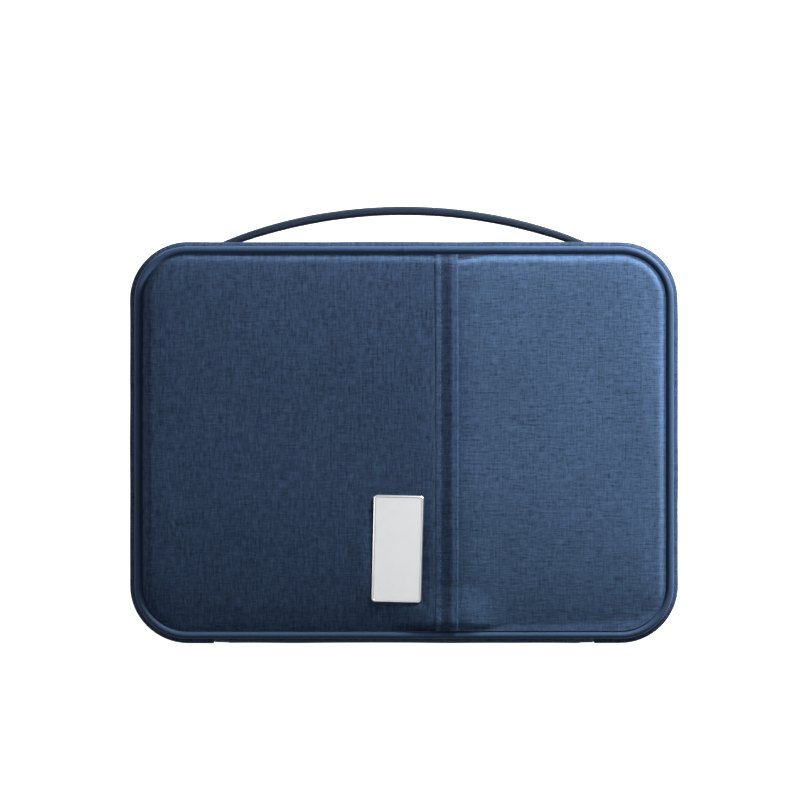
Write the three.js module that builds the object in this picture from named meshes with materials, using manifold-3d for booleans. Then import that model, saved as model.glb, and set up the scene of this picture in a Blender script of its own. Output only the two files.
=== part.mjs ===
// Travel document organizer: two padded covers joined by a folding spine and closed by a zip.
// It lies on its back: +Z is out of the front cover, +Y is towards the carry handle, the spine
// is along the -Y edge. Millimetres. The origin is on the resting face, at the middle of the back.

import * as THREE from 'three';
import { mergeVertices } from 'three/addons/utils/BufferGeometryUtils.js';
import Module from 'manifold-3d';

// ---- driving dimensions ----

const BODY_W = 340;              // over the side walls
const BODY_H = 249;              // over the top wall and the spine
const CORNER_R = 36;             // outer corner radius of the side walls
const GAP = 0.3;                 // air left between pieces that touch
const WALL = 1.2;                // thickness of the covered side walls
const ARC_STEPS = 8;             // straight steps in each quarter turn

const BEAD_R = 2.6;              // radius of the piped edge
const BEAD_IN = 4.6;             // from the outer wall face to the middle of the bead
const BACK_SEAM_Z = 5.5;         // height of the middle of the back bead
const FRONT_SEAM_Z = 32.5;       // height of the middle of the front bead
const PANEL_IN = 7.9;            // from the outer wall face to the edge of a cover panel

const ZIP_Z = 22.9;              // height of the closed zip's middle line
const ZIP_SLIT = 1.2;            // gap between the two rows of coils, for the slider's neck
const COIL_W = 2.4;
const COIL_IN = 3.2;             // from the outer wall face to the coils
const COIL_T = 1.4;
const TAPE_IN = 4.9;
const TAPE_T = 0.5;
const SPINE_HALF = 112;          // half of the spine's length
const WALL_END = 118;            // where the zipped walls stop, each side of the spine
const BACK_WALL_TOP = 18.9;
const FRONT_WALL_FOOT = 26.9;

const HANDLE_W = 12.4;           // width of the carry strap
const HANDLE_T = 4.6;
const HANDLE_Z = 12.7;           // height of the strap's middle
const HANDLE_R = 330;            // radius of the strap's middle line
const HANDLE_RISE = 19.6;        // from the wall face to the strap's middle line at its top
const HANDLE_FOOT = 2.5;         // clear of the wall, so that the strap can tilt

const SLIDER_L = 9;
const SLIDER_X = 7;              // from the middle of the top to the middle of a slider
const SLIDER_W = 6.4;
const PULL_L = 20;
const PULL_W = 5.2;
const PULL_T = 0.9;
const PULL_AXIS_X = 4.6;
const PULL_AXIS_IN = 0.6;        // from the outer wall face to the pull's pivot

const FLAP_X0 = 20.8;            // stitched edge of the pocket's cover strip
const FLAP_X1 = 33.6;            // its free edge
const POCKET_ZIP_X = 27.2;       // middle of the zip under that strip
const FRONT_TOP = 38.9;          // outer face of the front cover
const FLAP_T = 0.8;

// Heights of the front cover's layers, from the inside out: lower and upper face.
const FRONT_LAYERS = {
  lining: [28.4, 29.0],
  stiffener: [29.3, 30.5],
  padding: [30.8, 32.8],
  panel: [33.1, FRONT_TOP],
  pocketLining: [33.1, 33.5],
  pocketPanel: [34.4, FRONT_TOP - 0.1],
};

const PLATE_W = 30.7;
const PLATE_H = 66.3;
const PLATE_T = 0.8;
const PLATE_AT = [-4.0, -65.6];
const PLATE_TILT = -1.4;         // degrees

const HALF_W = BODY_W / 2;
const HALF_H = BODY_H / 2;
const RIGHT_ANGLE = Math.PI / 2;

// ---- materials ----

function finish(colour, roughness, metalness = 0) {
  return () => new THREE.MeshStandardMaterial({ color: colour, roughness, metalness });
}

const navyCloth = finish(0x3d5478, 0.85);
const pipingCloth = finish(0x2b3b57, 0.6);
const darkWebbing = finish(0x1a2433, 0.8);
const liningCloth = finish(0x2a3344, 0.8);
const pocketCloth = finish(0x2f3b52, 0.85);
const meshCloth = finish(0x20262f, 0.9);
const zipTape = finish(0x1f2b3e, 0.85);
const zipCoil = finish(0x1c2533, 0.5);
const foam = finish(0x55585c, 0.95);
const board = finish(0xb9b4a8, 0.9);
const satinMetal = finish(0xd4d5d6, 0.35, 1);
const darkMetal = finish(0x6c7078, 0.35, 1);

// ---- helpers ----

const organizer = new THREE.Group();

function add(name, geometry, material) {
  const mesh = new THREE.Mesh(geometry, material());
  mesh.name = name;
  organizer.add(mesh);
  return mesh;
}

const wasm = await Module();
wasm.setup();

function toSolid(geometry) {
  const bare = geometry.clone();
  bare.deleteAttribute('normal');
  bare.deleteAttribute('uv');
  const merged = mergeVertices(bare, 1e-4);
  const vertProperties = new Float32Array(merged.attributes.position.array);
  const triVerts = new Uint32Array(merged.index.array);
  return new wasm.Manifold(new wasm.Mesh({ numProp: 3, vertProperties, triVerts }));
}

function joined(a, b) {
  const { vertProperties, triVerts } = toSolid(a).add(toSolid(b)).getMesh();
  const geometry = new THREE.BufferGeometry();
  geometry.setAttribute('position', new THREE.BufferAttribute(vertProperties, 3));
  geometry.setIndex(new THREE.BufferAttribute(triVerts, 1));
  return geometry;
}

// A flat piece: the outline raised from z0 to z1, with its edges rounded by `edge`.
function slab(outline, z0, z1, edge = 0) {
  const geometry = new THREE.ExtrudeGeometry(outline, {
    depth: z1 - z0 - 2 * edge,
    bevelEnabled: edge > 0,
    bevelThickness: edge,
    bevelSize: edge,
    bevelOffset: -edge,
    bevelSegments: 2,
    curveSegments: ARC_STEPS / 2,
  });
  return geometry.translate(0, 0, z0 + edge);
}

// A profile drawn in (y, z) and run along X from x0 to x1.
function alongX(profile, x0, x1) {
  const options = { depth: x1 - x0, bevelEnabled: false, curveSegments: ARC_STEPS / 2 };
  const geometry = new THREE.ExtrudeGeometry(profile, options).translate(0, 0, x0);
  const [x, y, z] = [[1, 0, 0], [0, 1, 0], [0, 0, 1]].map((v) => new THREE.Vector3(...v));
  return geometry.applyMatrix4(new THREE.Matrix4().makeBasis(y, z, x));
}

// A profile drawn in (z, x) and run along Y from y0 to y1.
function alongY(profile, y0, y1) {
  const options = { depth: y1 - y0, bevelEnabled: false, curveSegments: ARC_STEPS / 2 };
  const geometry = new THREE.ExtrudeGeometry(profile, options).translate(0, 0, y0);
  const [x, y, z] = [[1, 0, 0], [0, 1, 0], [0, 0, 1]].map((v) => new THREE.Vector3(...v));
  return geometry.applyMatrix4(new THREE.Matrix4().makeBasis(z, x, y));
}

function polygon(points) {
  return new THREE.Shape(points.map(([x, y]) => new THREE.Vector2(x, y)));
}

function box(x0, x1, y0, y1) {
  return polygon([[x0, y0], [x1, y0], [x1, y1], [x0, y1]]);
}

// A rectangle with one radius for its left corners and one for its right corners.
function roundedBox(x0, x1, y0, y1, leftR, rightR) {
  const shape = new THREE.Shape();
  shape.moveTo(x0 + leftR, y0);
  shape.lineTo(x1 - rightR, y0);
  if (rightR > 0) shape.absarc(x1 - rightR, y0 + rightR, rightR, -RIGHT_ANGLE, 0, false);
  shape.lineTo(x1, y1 - rightR);
  if (rightR > 0) shape.absarc(x1 - rightR, y1 - rightR, rightR, 0, RIGHT_ANGLE, false);
  shape.lineTo(x0 + leftR, y1);
  if (leftR > 0) shape.absarc(x0 + leftR, y1 - leftR, leftR, RIGHT_ANGLE, Math.PI, false);
  shape.lineTo(x0, y0 + leftR);
  if (leftR > 0) shape.absarc(x0 + leftR, y0 + leftR, leftR, Math.PI, 3 * RIGHT_ANGLE, false);
  return shape;
}

// The body's outline, moved in from the outer wall face.
function bodyOutline(inset) {
  const r = CORNER_R - inset;
  return roundedBox(-HALF_W + inset, HALF_W - inset, -HALF_H + inset, HALF_H - inset, r, r);
}

// A band that follows the body from one end of the spine round to the other.
function wallOutline(inset, thickness) {
  const shape = new THREE.Shape();
  const corners = [[1, -1], [1, 1], [-1, 1], [-1, -1]];
  const arc = (r, [sx, sy], start, turn) => {
    const x = sx * (HALF_W - CORNER_R);
    const y = sy * (HALF_H - CORNER_R);
    shape.absarc(x, y, r, start, start + turn, turn < 0);
  };
  const outerR = CORNER_R - inset;
  const innerR = outerR - thickness;
  shape.moveTo(WALL_END, -HALF_H + inset);
  corners.forEach((corner, i) => arc(outerR, corner, (i - 1) * RIGHT_ANGLE, RIGHT_ANGLE));
  shape.lineTo(-WALL_END, -HALF_H + inset);
  shape.lineTo(-WALL_END, -HALF_H + inset + thickness);
  corners.reverse();
  corners.forEach((corner, i) => arc(innerR, corner, (3 - i) * RIGHT_ANGLE, -RIGHT_ANGLE));
  shape.lineTo(WALL_END, -HALF_H + inset + thickness);
  return shape;
}

// ---- piped edges: a round bead all round each cover ----

function addPiping(name, seamZ) {
  const core = 0.4;
  const ring = bodyOutline(BEAD_IN - core / 2);
  ring.holes.push(bodyOutline(BEAD_IN + core / 2));
  const round = BEAD_R - core / 2;
  const geometry = new THREE.ExtrudeGeometry(ring, {
    depth: core,
    bevelThickness: round,
    bevelSize: round,
    bevelSegments: 3,
    curveSegments: ARC_STEPS / 2,
  });
  add(name, geometry.translate(0, 0, seamZ - core / 2), pipingCloth);
}

// ---- the two covers ----

function addBackCover() {
  add('back_panel', slab(bodyOutline(PANEL_IN), 0, 5.0, 1.5), navyCloth);
  add('back_stiffener', slab(bodyOutline(PANEL_IN + 1), 5.3, 6.5), board);
  add('back_lining', slab(bodyOutline(PANEL_IN), 6.8, 7.4), liningCloth);
  addPiping('back_piping', BACK_SEAM_Z);
  const wallFoot = BACK_SEAM_Z + BEAD_R + GAP;
  add('back_gusset', slab(wallOutline(0, WALL), wallFoot, BACK_WALL_TOP), navyCloth);
}

function addFrontCover() {
  const top = HALF_H - PANEL_IN;
  const side = HALF_W - PANEL_IN;
  const r = CORNER_R - PANEL_IN;
  add('front_lining', slab(bodyOutline(PANEL_IN), ...FRONT_LAYERS.lining), liningCloth);
  add('front_stiffener', slab(bodyOutline(PANEL_IN + 1), ...FRONT_LAYERS.stiffener), board);
  add('front_padding', slab(bodyOutline(PANEL_IN + 1), ...FRONT_LAYERS.padding), foam);
  const left = roundedBox(-side, FLAP_X0 - GAP, -top, top, r, 0);
  add('front_panel_left', slab(left, ...FRONT_LAYERS.panel, 1.2), navyCloth);
  const behind = roundedBox(FLAP_X0, side, -top, top, 0, r);
  add('pocket_lining', slab(behind, ...FRONT_LAYERS.pocketLining), liningCloth);
  const right = roundedBox(FLAP_X1 + 1.2, side, -top, top, 0, r);
  add('front_pocket_panel', slab(right, ...FRONT_LAYERS.pocketPanel, 1.0), navyCloth);
  addPiping('front_piping', FRONT_SEAM_Z);
  const wallTop = FRONT_SEAM_Z - BEAD_R - GAP;
  add('front_gusset', slab(wallOutline(0, WALL), FRONT_WALL_FOOT, wallTop), navyCloth);
}

function addSpine() {
  const foot = BACK_SEAM_Z + BEAD_R + GAP;
  const head = FRONT_SEAM_Z - BEAD_R - GAP;
  const middle = (foot + head) / 2;
  const seamY = -HALF_H + BEAD_IN;
  const bulge = BEAD_IN;
  const profile = new THREE.Shape();
  profile.moveTo(seamY, foot);
  profile.quadraticCurveTo(-HALF_H - bulge, middle, seamY, head);
  profile.lineTo(seamY + WALL, head);
  profile.quadraticCurveTo(-HALF_H - bulge + 2 * WALL, middle, seamY + WALL, foot);
  add('spine_strip', alongX(profile, -SPINE_HALF, SPINE_HALF), navyCloth);
}

// ---- the main zip ----

function addMainZip() {
  const edge = ZIP_SLIT / 2;
  const tape = wallOutline(TAPE_IN, TAPE_T);
  const coil = wallOutline(COIL_IN, COIL_T);
  add('zipper_tape_back', slab(tape, 12.5, ZIP_Z - edge), zipTape);
  add('zipper_tape_front', slab(tape, ZIP_Z + edge, FRONT_SEAM_Z - BEAD_R - GAP), zipTape);
  add('zipper_coil_back', slab(coil, ZIP_Z - edge - COIL_W, ZIP_Z - edge), zipCoil);
  add('zipper_coil_front', slab(coil, ZIP_Z + edge, ZIP_Z + edge + COIL_W), zipCoil);
  const stopY = -HALF_H + COIL_IN;
  for (const [side, name] of [[-1, 'left'], [1, 'right']]) {
    const x = [side * (WALL_END - 3.6), side * (WALL_END - GAP)].sort((a, b) => a - b);
    const stop = box(x[0], x[1], stopY, stopY + COIL_T);
    add(`zipper_stop_${name}`, slab(stop, ZIP_Z - 2.8, ZIP_Z + 2.8), darkMetal);
  }
}

// A slider clasps both rows: a plate outside, a plate inside, and a thin neck between the rows.
function addSlider(name, side) {
  const outer = HALF_H - 2.0;
  const outerFoot = HALF_H - 2.9;
  const inner = HALF_H - TAPE_IN - TAPE_T - GAP;
  const innerFoot = inner - 0.8;
  const lugTop = HALF_H - 0.1;
  const neck = 0.3;
  const lug = 0.7;
  const wide = SLIDER_W / 2;
  const profile = polygon([
    [innerFoot, ZIP_Z - wide], [inner, ZIP_Z - wide], [inner, ZIP_Z - neck],
    [outerFoot, ZIP_Z - neck], [outerFoot, ZIP_Z - wide], [outer, ZIP_Z - wide],
    [outer, ZIP_Z + wide], [outerFoot, ZIP_Z + wide], [outerFoot, ZIP_Z + neck],
    [inner, ZIP_Z + neck], [inner, ZIP_Z + wide], [innerFoot, ZIP_Z + wide],
  ]);
  const x0 = side * SLIDER_X - SLIDER_L / 2;
  const body = alongX(profile, x0, x0 + SLIDER_L);
  const lugProfile = box(outer - 0.2, lugTop, ZIP_Z - lug, ZIP_Z + lug);
  const lugX = side * (PULL_AXIS_X + 0.8);
  const geometry = joined(body, alongX(lugProfile, lugX - 1.8, lugX + 1.8));
  add(name, geometry, darkMetal);
}

// A flat puller whose forked end straddles the slider's lug.
function addPull(name, side) {
  const x0 = side * PULL_AXIS_X;
  const root = 0.8;
  const slot = 1.1;
  const slotEnd = 4.4;
  const wide = PULL_W / 2;
  const at = (along, across) => [ZIP_Z + across, x0 + side * along];
  const outline = [
    at(-root, -wide), at(PULL_L - 2, -wide), at(PULL_L, -wide + 1.6), at(PULL_L, wide - 1.6),
    at(PULL_L - 2, wide), at(-root, wide), at(-root, slot), at(slotEnd, slot),
    at(slotEnd, -slot), at(-root, -slot),
  ];
  const y = HALF_H - PULL_AXIS_IN;
  add(name, alongY(polygon(outline), y - PULL_T / 2, y + PULL_T / 2), darkMetal);
}

// ---- the carry handle ----

function addHandle() {
  const centreY = HALF_H + HANDLE_RISE - HANDLE_R;
  const edge = 1.0;
  const foot = HALF_H + HANDLE_FOOT + edge;
  const outerR = HANDLE_R + HANDLE_T / 2 - edge;
  const innerR = HANDLE_R - HANDLE_T / 2 + edge;
  const outerSpread = Math.acos((foot - centreY) / outerR);
  const innerSpread = Math.acos((foot - centreY) / innerR);
  const strap = new THREE.Shape();
  strap.absarc(0, centreY, outerR, RIGHT_ANGLE - outerSpread, RIGHT_ANGLE + outerSpread, false);
  strap.absarc(0, centreY, innerR, RIGHT_ANGLE + innerSpread, RIGHT_ANGLE - innerSpread, true);
  const geometry = new THREE.ExtrudeGeometry(strap, {
    depth: HANDLE_W - 2 * edge,
    bevelThickness: edge,
    bevelSize: edge,
    bevelSegments: 2,
    curveSegments: ARC_STEPS,
  });
  const z0 = HANDLE_Z - HANDLE_W / 2;
  add('handle_strap', geometry.translate(0, 0, z0 + edge), darkWebbing);
  for (const [side, name] of [[-1, 'left'], [1, 'right']]) {
    const x = [side * 104, side * 132].sort((a, b) => a - b);
    const end = box(x[0], x[1], HALF_H - WALL - GAP - 1.8, HALF_H - WALL - GAP);
    const sewn = slab(end, z0 + 2.4, z0 + HANDLE_W - 0.4);
    add(`handle_end_${name}`, sewn, darkWebbing);
  }
}

// ---- front pocket: the zip under its cover strip ----

function addFrontPocket() {
  const half = HALF_H - PANEL_IN - 0.6;
  const flap = box(FLAP_X0 + GAP, FLAP_X1, -half, half);
  add('pocket_placket', slab(flap, FRONT_TOP - FLAP_T, FRONT_TOP), navyCloth);
  const tapeHalf = half - 1;
  const tape = (x0, x1) => slab(box(x0, x1, -tapeHalf, tapeHalf), 33.8, 34.1);
  add('pocket_zip_tape_left', tape(FLAP_X0 + 0.4, POCKET_ZIP_X - 0.2), zipTape);
  add('pocket_zip_tape_right', tape(POCKET_ZIP_X + 0.2, FLAP_X1 + 8), zipTape);
  const coil = box(POCKET_ZIP_X - 2.2, POCKET_ZIP_X + 2.2, -tapeHalf + 3, tapeHalf - 3);
  add('pocket_zip_coil', slab(coil, 34.4, 35.0), zipCoil);
  const sliderEnd = half - 8;
  const body = roundedBox(POCKET_ZIP_X - 3, POCKET_ZIP_X + 3, sliderEnd - 9, sliderEnd, 1, 1);
  add('pocket_zip_slider', slab(body, 35.3, 35.8), darkMetal);
  const pullEnd = sliderEnd - 9 - GAP;
  const pull = roundedBox(POCKET_ZIP_X - 2, POCKET_ZIP_X + 2, pullEnd - 18, pullEnd, 1, 1);
  add('pocket_zip_pull', slab(pull, 35.3, 35.8), darkMetal);
}

// ---- the blank metal plate ----

function addPlate() {
  const w = PLATE_W / 2;
  const h = PLATE_H / 2;
  const outline = roundedBox(-w, w, -h, h, 2, 2);
  const plate = add('metal_plate', slab(outline, 0, PLATE_T, 0.25), satinMetal);
  plate.position.set(PLATE_AT[0], PLATE_AT[1], FRONT_TOP + GAP);
  plate.rotation.z = THREE.MathUtils.degToRad(PLATE_TILT);
}

// ---- inside the back cover ----

function addBackPockets() {
  add('document_pocket', slab(roundedBox(-152, 152, -110, 62, 12, 12), 8.0, 8.5), pocketCloth);
  const passport = roundedBox(-146, -8, -104, 40, 6, 6);
  add('passport_pocket', slab(passport, 9.0, 9.5), pocketCloth);
  const rows = 4;
  const step = 24;
  for (let i = 0; i < rows; i += 1) {
    const z = 9.0 + i * 0.8;
    const top = 34 - i * step;
    const slot = roundedBox(6, 112, -104, top, 4, 4);
    add(`card_slot_${i + 1}`, slab(slot, z, z + 0.5), pocketCloth);
  }
}

// An elastic loop that holds a pen, open at both ends.
function addPenLoop(name, y) {
  const x = 128;
  const wide = 7.5;
  const low = 9.0;
  const high = 15.6;
  const skin = 0.8;
  const loop = polygon([
    [low, x - wide], [high - 2, x - wide], [high, x - wide + 2.5], [high, x + wide - 2.5],
    [high - 2, x + wide], [low, x + wide],
  ]);
  const hole = [
    [low + skin, x - wide + skin], [low + skin, x + wide - skin],
    [high - 2.3, x + wide - skin], [high - skin, x + wide - 2.8],
    [high - skin, x - wide + 2.8], [high - 2.3, x - wide + skin],
  ];
  loop.holes.push(new THREE.Path(hole.map(([u, v]) => new THREE.Vector2(u, v))));
  add(name, alongY(loop, y - 11, y + 11), darkWebbing);
}

// ---- inside the front cover ----

function addMeshPocket() {
  const half = 152;
  const mouth = 74;
  add('mesh_pocket', slab(roundedBox(-half, half, -110, mouth, 12, 12), 27.2, 27.6), meshCloth);
  const tape = roundedBox(-half, half, mouth + GAP, mouth + 22, 0, 0);
  add('mesh_zip_tape', slab(tape, 27.2, 27.6), zipTape);
  const zipY = mouth + 11;
  const coil = box(-half + 4, half - 4, zipY - 2.2, zipY + 2.2);
  add('mesh_zip_coil', slab(coil, 26.0, 26.9), zipCoil);
  const x0 = -half + 8;
  const slider = roundedBox(x0, x0 + 9, zipY - 3, zipY + 3, 1, 1);
  add('mesh_zip_slider', slab(slider, 24.9, 25.7), darkMetal);
  const pull = roundedBox(x0 + 9 + GAP, x0 + 29, zipY - 2, zipY + 2, 1, 1);
  add('mesh_zip_pull', slab(pull, 24.9, 25.7), darkMetal);
}

// ---- the divider between the two halves ----

// The leaf is narrow at its root, so that it clears the ends of the zipped walls as it turns.
function leafOutline() {
  const root = SPINE_HALF - 4;
  const half = 148;
  const r = 18;
  const top = 106;
  const shoulder = -92;
  const shape = new THREE.Shape();
  shape.moveTo(-root, -114);
  shape.lineTo(root, -114);
  shape.lineTo(root, shoulder);
  shape.lineTo(half, shoulder);
  shape.lineTo(half, top - r);
  shape.absarc(half - r, top - r, r, 0, RIGHT_ANGLE, false);
  shape.lineTo(-half + r, top);
  shape.absarc(-half + r, top - r, r, RIGHT_ANGLE, Math.PI, false);
  shape.lineTo(-half, shoulder);
  shape.lineTo(-root, shoulder);
  return shape;
}

function addDivider() {
  add('divider_leaf', slab(leafOutline(), 18.9, 20.1), liningCloth);
  add('divider_pocket', slab(roundedBox(-140, 140, -86, 60, 6, 6), 20.4, 20.8), pocketCloth);
  const hingeTape = box(-SPINE_HALF + 6, SPINE_HALF - 6, -118, -114.3);
  add('divider_hinge_tape', slab(hingeTape, 19.1, 19.9), liningCloth);
}

// ---- assembly ----

addBackCover();
addSpine();
addFrontCover();
addMainZip();
for (const [side, name] of [[-1, 'left'], [1, 'right']]) {
  addSlider(`zipper_slider_${name}`, side);
  addPull(`zipper_pull_${name}`, side);
}
addHandle();
addFrontPocket();
addPlate();
addBackPockets();
addPenLoop('pen_loop_1', 12);
addPenLoop('pen_loop_2', -60);
addMeshPocket();
addDivider();

export default organizer;
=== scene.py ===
"""Travel document organizer: cloth, zips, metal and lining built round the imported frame."""

import math

import bpy
import numpy as np
from bpy.props import FloatProperty, FloatVectorProperty, IntProperty, PointerProperty
from mathutils import Matrix, Vector, noise
from mathutils.kdtree import KDTree


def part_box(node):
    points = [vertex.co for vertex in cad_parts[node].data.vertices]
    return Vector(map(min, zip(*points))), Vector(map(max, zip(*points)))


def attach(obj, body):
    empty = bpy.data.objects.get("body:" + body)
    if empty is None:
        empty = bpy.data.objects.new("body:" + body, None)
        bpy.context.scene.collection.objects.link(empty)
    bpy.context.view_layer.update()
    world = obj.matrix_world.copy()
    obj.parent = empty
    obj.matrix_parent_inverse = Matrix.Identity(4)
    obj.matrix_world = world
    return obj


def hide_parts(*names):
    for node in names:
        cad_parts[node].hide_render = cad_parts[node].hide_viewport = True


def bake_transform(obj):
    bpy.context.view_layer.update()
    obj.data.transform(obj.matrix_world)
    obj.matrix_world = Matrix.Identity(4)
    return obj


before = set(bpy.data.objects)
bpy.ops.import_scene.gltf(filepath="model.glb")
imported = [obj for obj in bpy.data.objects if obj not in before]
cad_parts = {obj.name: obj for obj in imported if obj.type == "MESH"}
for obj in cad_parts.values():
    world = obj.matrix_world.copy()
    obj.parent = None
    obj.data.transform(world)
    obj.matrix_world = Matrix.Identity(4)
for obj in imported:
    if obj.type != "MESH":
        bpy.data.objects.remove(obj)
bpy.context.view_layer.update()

bl_info = {
    "name": "Travel Document Organizer",
    "version": (1, 0, 0),
    "blender": (4, 5, 0),
    "location": "View3D > Sidebar > Organizer",
    "description": "Builds a zip-round travel document organizer in cloth, metal and netting",
    "category": "Object",
}

MM = 0.001
QUARTER = math.pi / 2


def middle(node):
    lo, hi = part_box(node)
    return (lo + hi) / 2


# ---- places that come from the frame ----

WALL_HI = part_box("back_gusset")[1]
HALF_W = WALL_HI.x
HALF_H = WALL_HI.y
BACK_SEAM_Z = middle("back_piping").z
FRONT_SEAM_Z = middle("front_piping").z
BEAD_R = (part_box("front_piping")[1].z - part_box("front_piping")[0].z) / 2
BEAD_IN = HALF_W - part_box("front_piping")[1].x + BEAD_R
PANEL_IN = HALF_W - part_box("back_panel")[1].x
FRONT_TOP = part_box("front_panel_left")[1].z
POCKET_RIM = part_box("pocket_lining")[1].z + 0.45 * MM
MOUTH_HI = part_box("pocket_zip_tape_right")[1]
ZIP_Z = (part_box("zipper_coil_back")[1].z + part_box("zipper_coil_front")[0].z) / 2
TAPE_IN = HALF_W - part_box("zipper_tape_back")[1].x
COIL_IN = HALF_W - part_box("zipper_coil_back")[1].x
CORD_R = 0.87 * BEAD_R
CORD_IN = BEAD_IN + 0.5 * MM
WALL_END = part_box("zipper_stop_right")[1].x + 0.3 * MM
SEAM_STEP = 0.9 * MM
FLAP_X0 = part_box("pocket_placket")[0].x
FLAP_X1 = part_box("pocket_placket")[1].x


# ---- settings that a user may change ----


class OrganizerSizes(bpy.types.PropertyGroup):
    corner_radius: FloatProperty(
        name="Corner radius",
        description="Outer radius of the body's corners",
        default=36 * MM,
        unit="LENGTH",
    )
    panel_crown: FloatProperty(
        name="Panel crown",
        description="How far the cloth swells past the frame's front cover",
        default=2.3 * MM,
        unit="LENGTH",
    )
    panel_roll: FloatProperty(
        name="Panel roll",
        description="Width of the rounded edge of the front cover",
        default=6.6 * MM,
        unit="LENGTH",
    )
    wall_bulge: FloatProperty(
        name="Wall bulge",
        description="How far the side walls swell past the frame's wall",
        default=0.1 * MM,
        unit="LENGTH",
    )
    stitch_pitch: FloatProperty(
        name="Stitch pitch",
        description="Distance from one stitch to the next",
        default=3.3 * MM,
        unit="LENGTH",
    )
    tooth_pitch: FloatProperty(
        name="Zip tooth pitch",
        description="Distance from one loop of the zip's coil to the next",
        default=1.3 * MM,
        unit="LENGTH",
    )
    cloth_steps: IntProperty(
        name="Cloth steps",
        description="Frames of cloth simulation that swell a padded cover",
        default=14,
        min=1,
    )


class OrganizerColours(bpy.types.PropertyGroup):
    cloth_dark: FloatVectorProperty(
        name="Dark thread",
        description="Darker thread of the heathered cloth",
        default=(0.0078, 0.0175, 0.0395),
        subtype="COLOR",
    )
    cloth_light: FloatVectorProperty(
        name="Light thread",
        description="Lighter thread of the heathered cloth",
        default=(0.0335, 0.0670, 0.1370),
        subtype="COLOR",
    )
    piping: FloatVectorProperty(
        name="Piping",
        description="Cloth that wraps the piped edges",
        default=(0.024, 0.050, 0.104),
        subtype="COLOR",
    )
    strap: FloatVectorProperty(
        name="Strap",
        description="Carry strap and elastic loops",
        default=(0.012, 0.022, 0.042),
        subtype="COLOR",
    )
    lining: FloatVectorProperty(
        name="Lining",
        description="Inner cloth",
        default=(0.030, 0.042, 0.066),
        subtype="COLOR",
    )
    thread: FloatVectorProperty(
        name="Thread",
        description="Sewing thread",
        default=(0.042, 0.070, 0.125),
        subtype="COLOR",
    )
    metal: FloatVectorProperty(
        name="Plate metal",
        description="Satin metal of the plate",
        default=(0.94, 0.95, 0.96),
        subtype="COLOR",
    )


def sizes():
    return bpy.context.scene.organizer_sizes


def colours():
    return bpy.context.scene.organizer_colours


# ---- node groups ----


def new_group(name, inputs, outputs):
    group = bpy.data.node_groups.new(name, "ShaderNodeTree")
    for label, kind, default in inputs:
        socket = group.interface.new_socket(label, in_out="INPUT", socket_type=kind)
        if default is not None:
            socket.default_value = default
    for label, kind in outputs:
        group.interface.new_socket(label, in_out="OUTPUT", socket_type=kind)
    return group


def math_node(tree, operation, a, b=None, clamp=False):
    node = tree.nodes.new("ShaderNodeMath")
    node.operation = operation
    node.use_clamp = clamp
    for socket, value in zip(node.inputs, (a, b)):
        if value is None:
            continue
        if hasattr(value, "links"):
            tree.links.new(value, socket)
        else:
            socket.default_value = value
    return node.outputs[0]


def shared(tree, a, share_a, b, share_b):
    """The sum of two values, each taken by its own share."""
    first = math_node(tree, "MULTIPLY", a, share_a)
    second = math_node(tree, "MULTIPLY", b, share_b)
    return math_node(tree, "ADD", first, second)


def scaled(tree, vector, scale, turn=0.0):
    node = tree.nodes.new("ShaderNodeMapping")
    node.inputs["Scale"].default_value = scale
    node.inputs["Rotation"].default_value = (0, 0, turn)
    tree.links.new(vector, node.inputs["Vector"])
    return node.outputs[0]


def noise_of(tree, vector, detail=2.0, roughness=0.5):
    node = tree.nodes.new("ShaderNodeTexNoise")
    node.inputs["Scale"].default_value = 1.0
    node.inputs["Detail"].default_value = detail
    node.inputs["Roughness"].default_value = roughness
    tree.links.new(vector, node.inputs["Vector"])
    return node.outputs["Fac"]


def separated(tree, vector):
    node = tree.nodes.new("ShaderNodeSeparateXYZ")
    tree.links.new(vector, node.inputs[0])
    return node.outputs[0], node.outputs[1]


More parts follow.
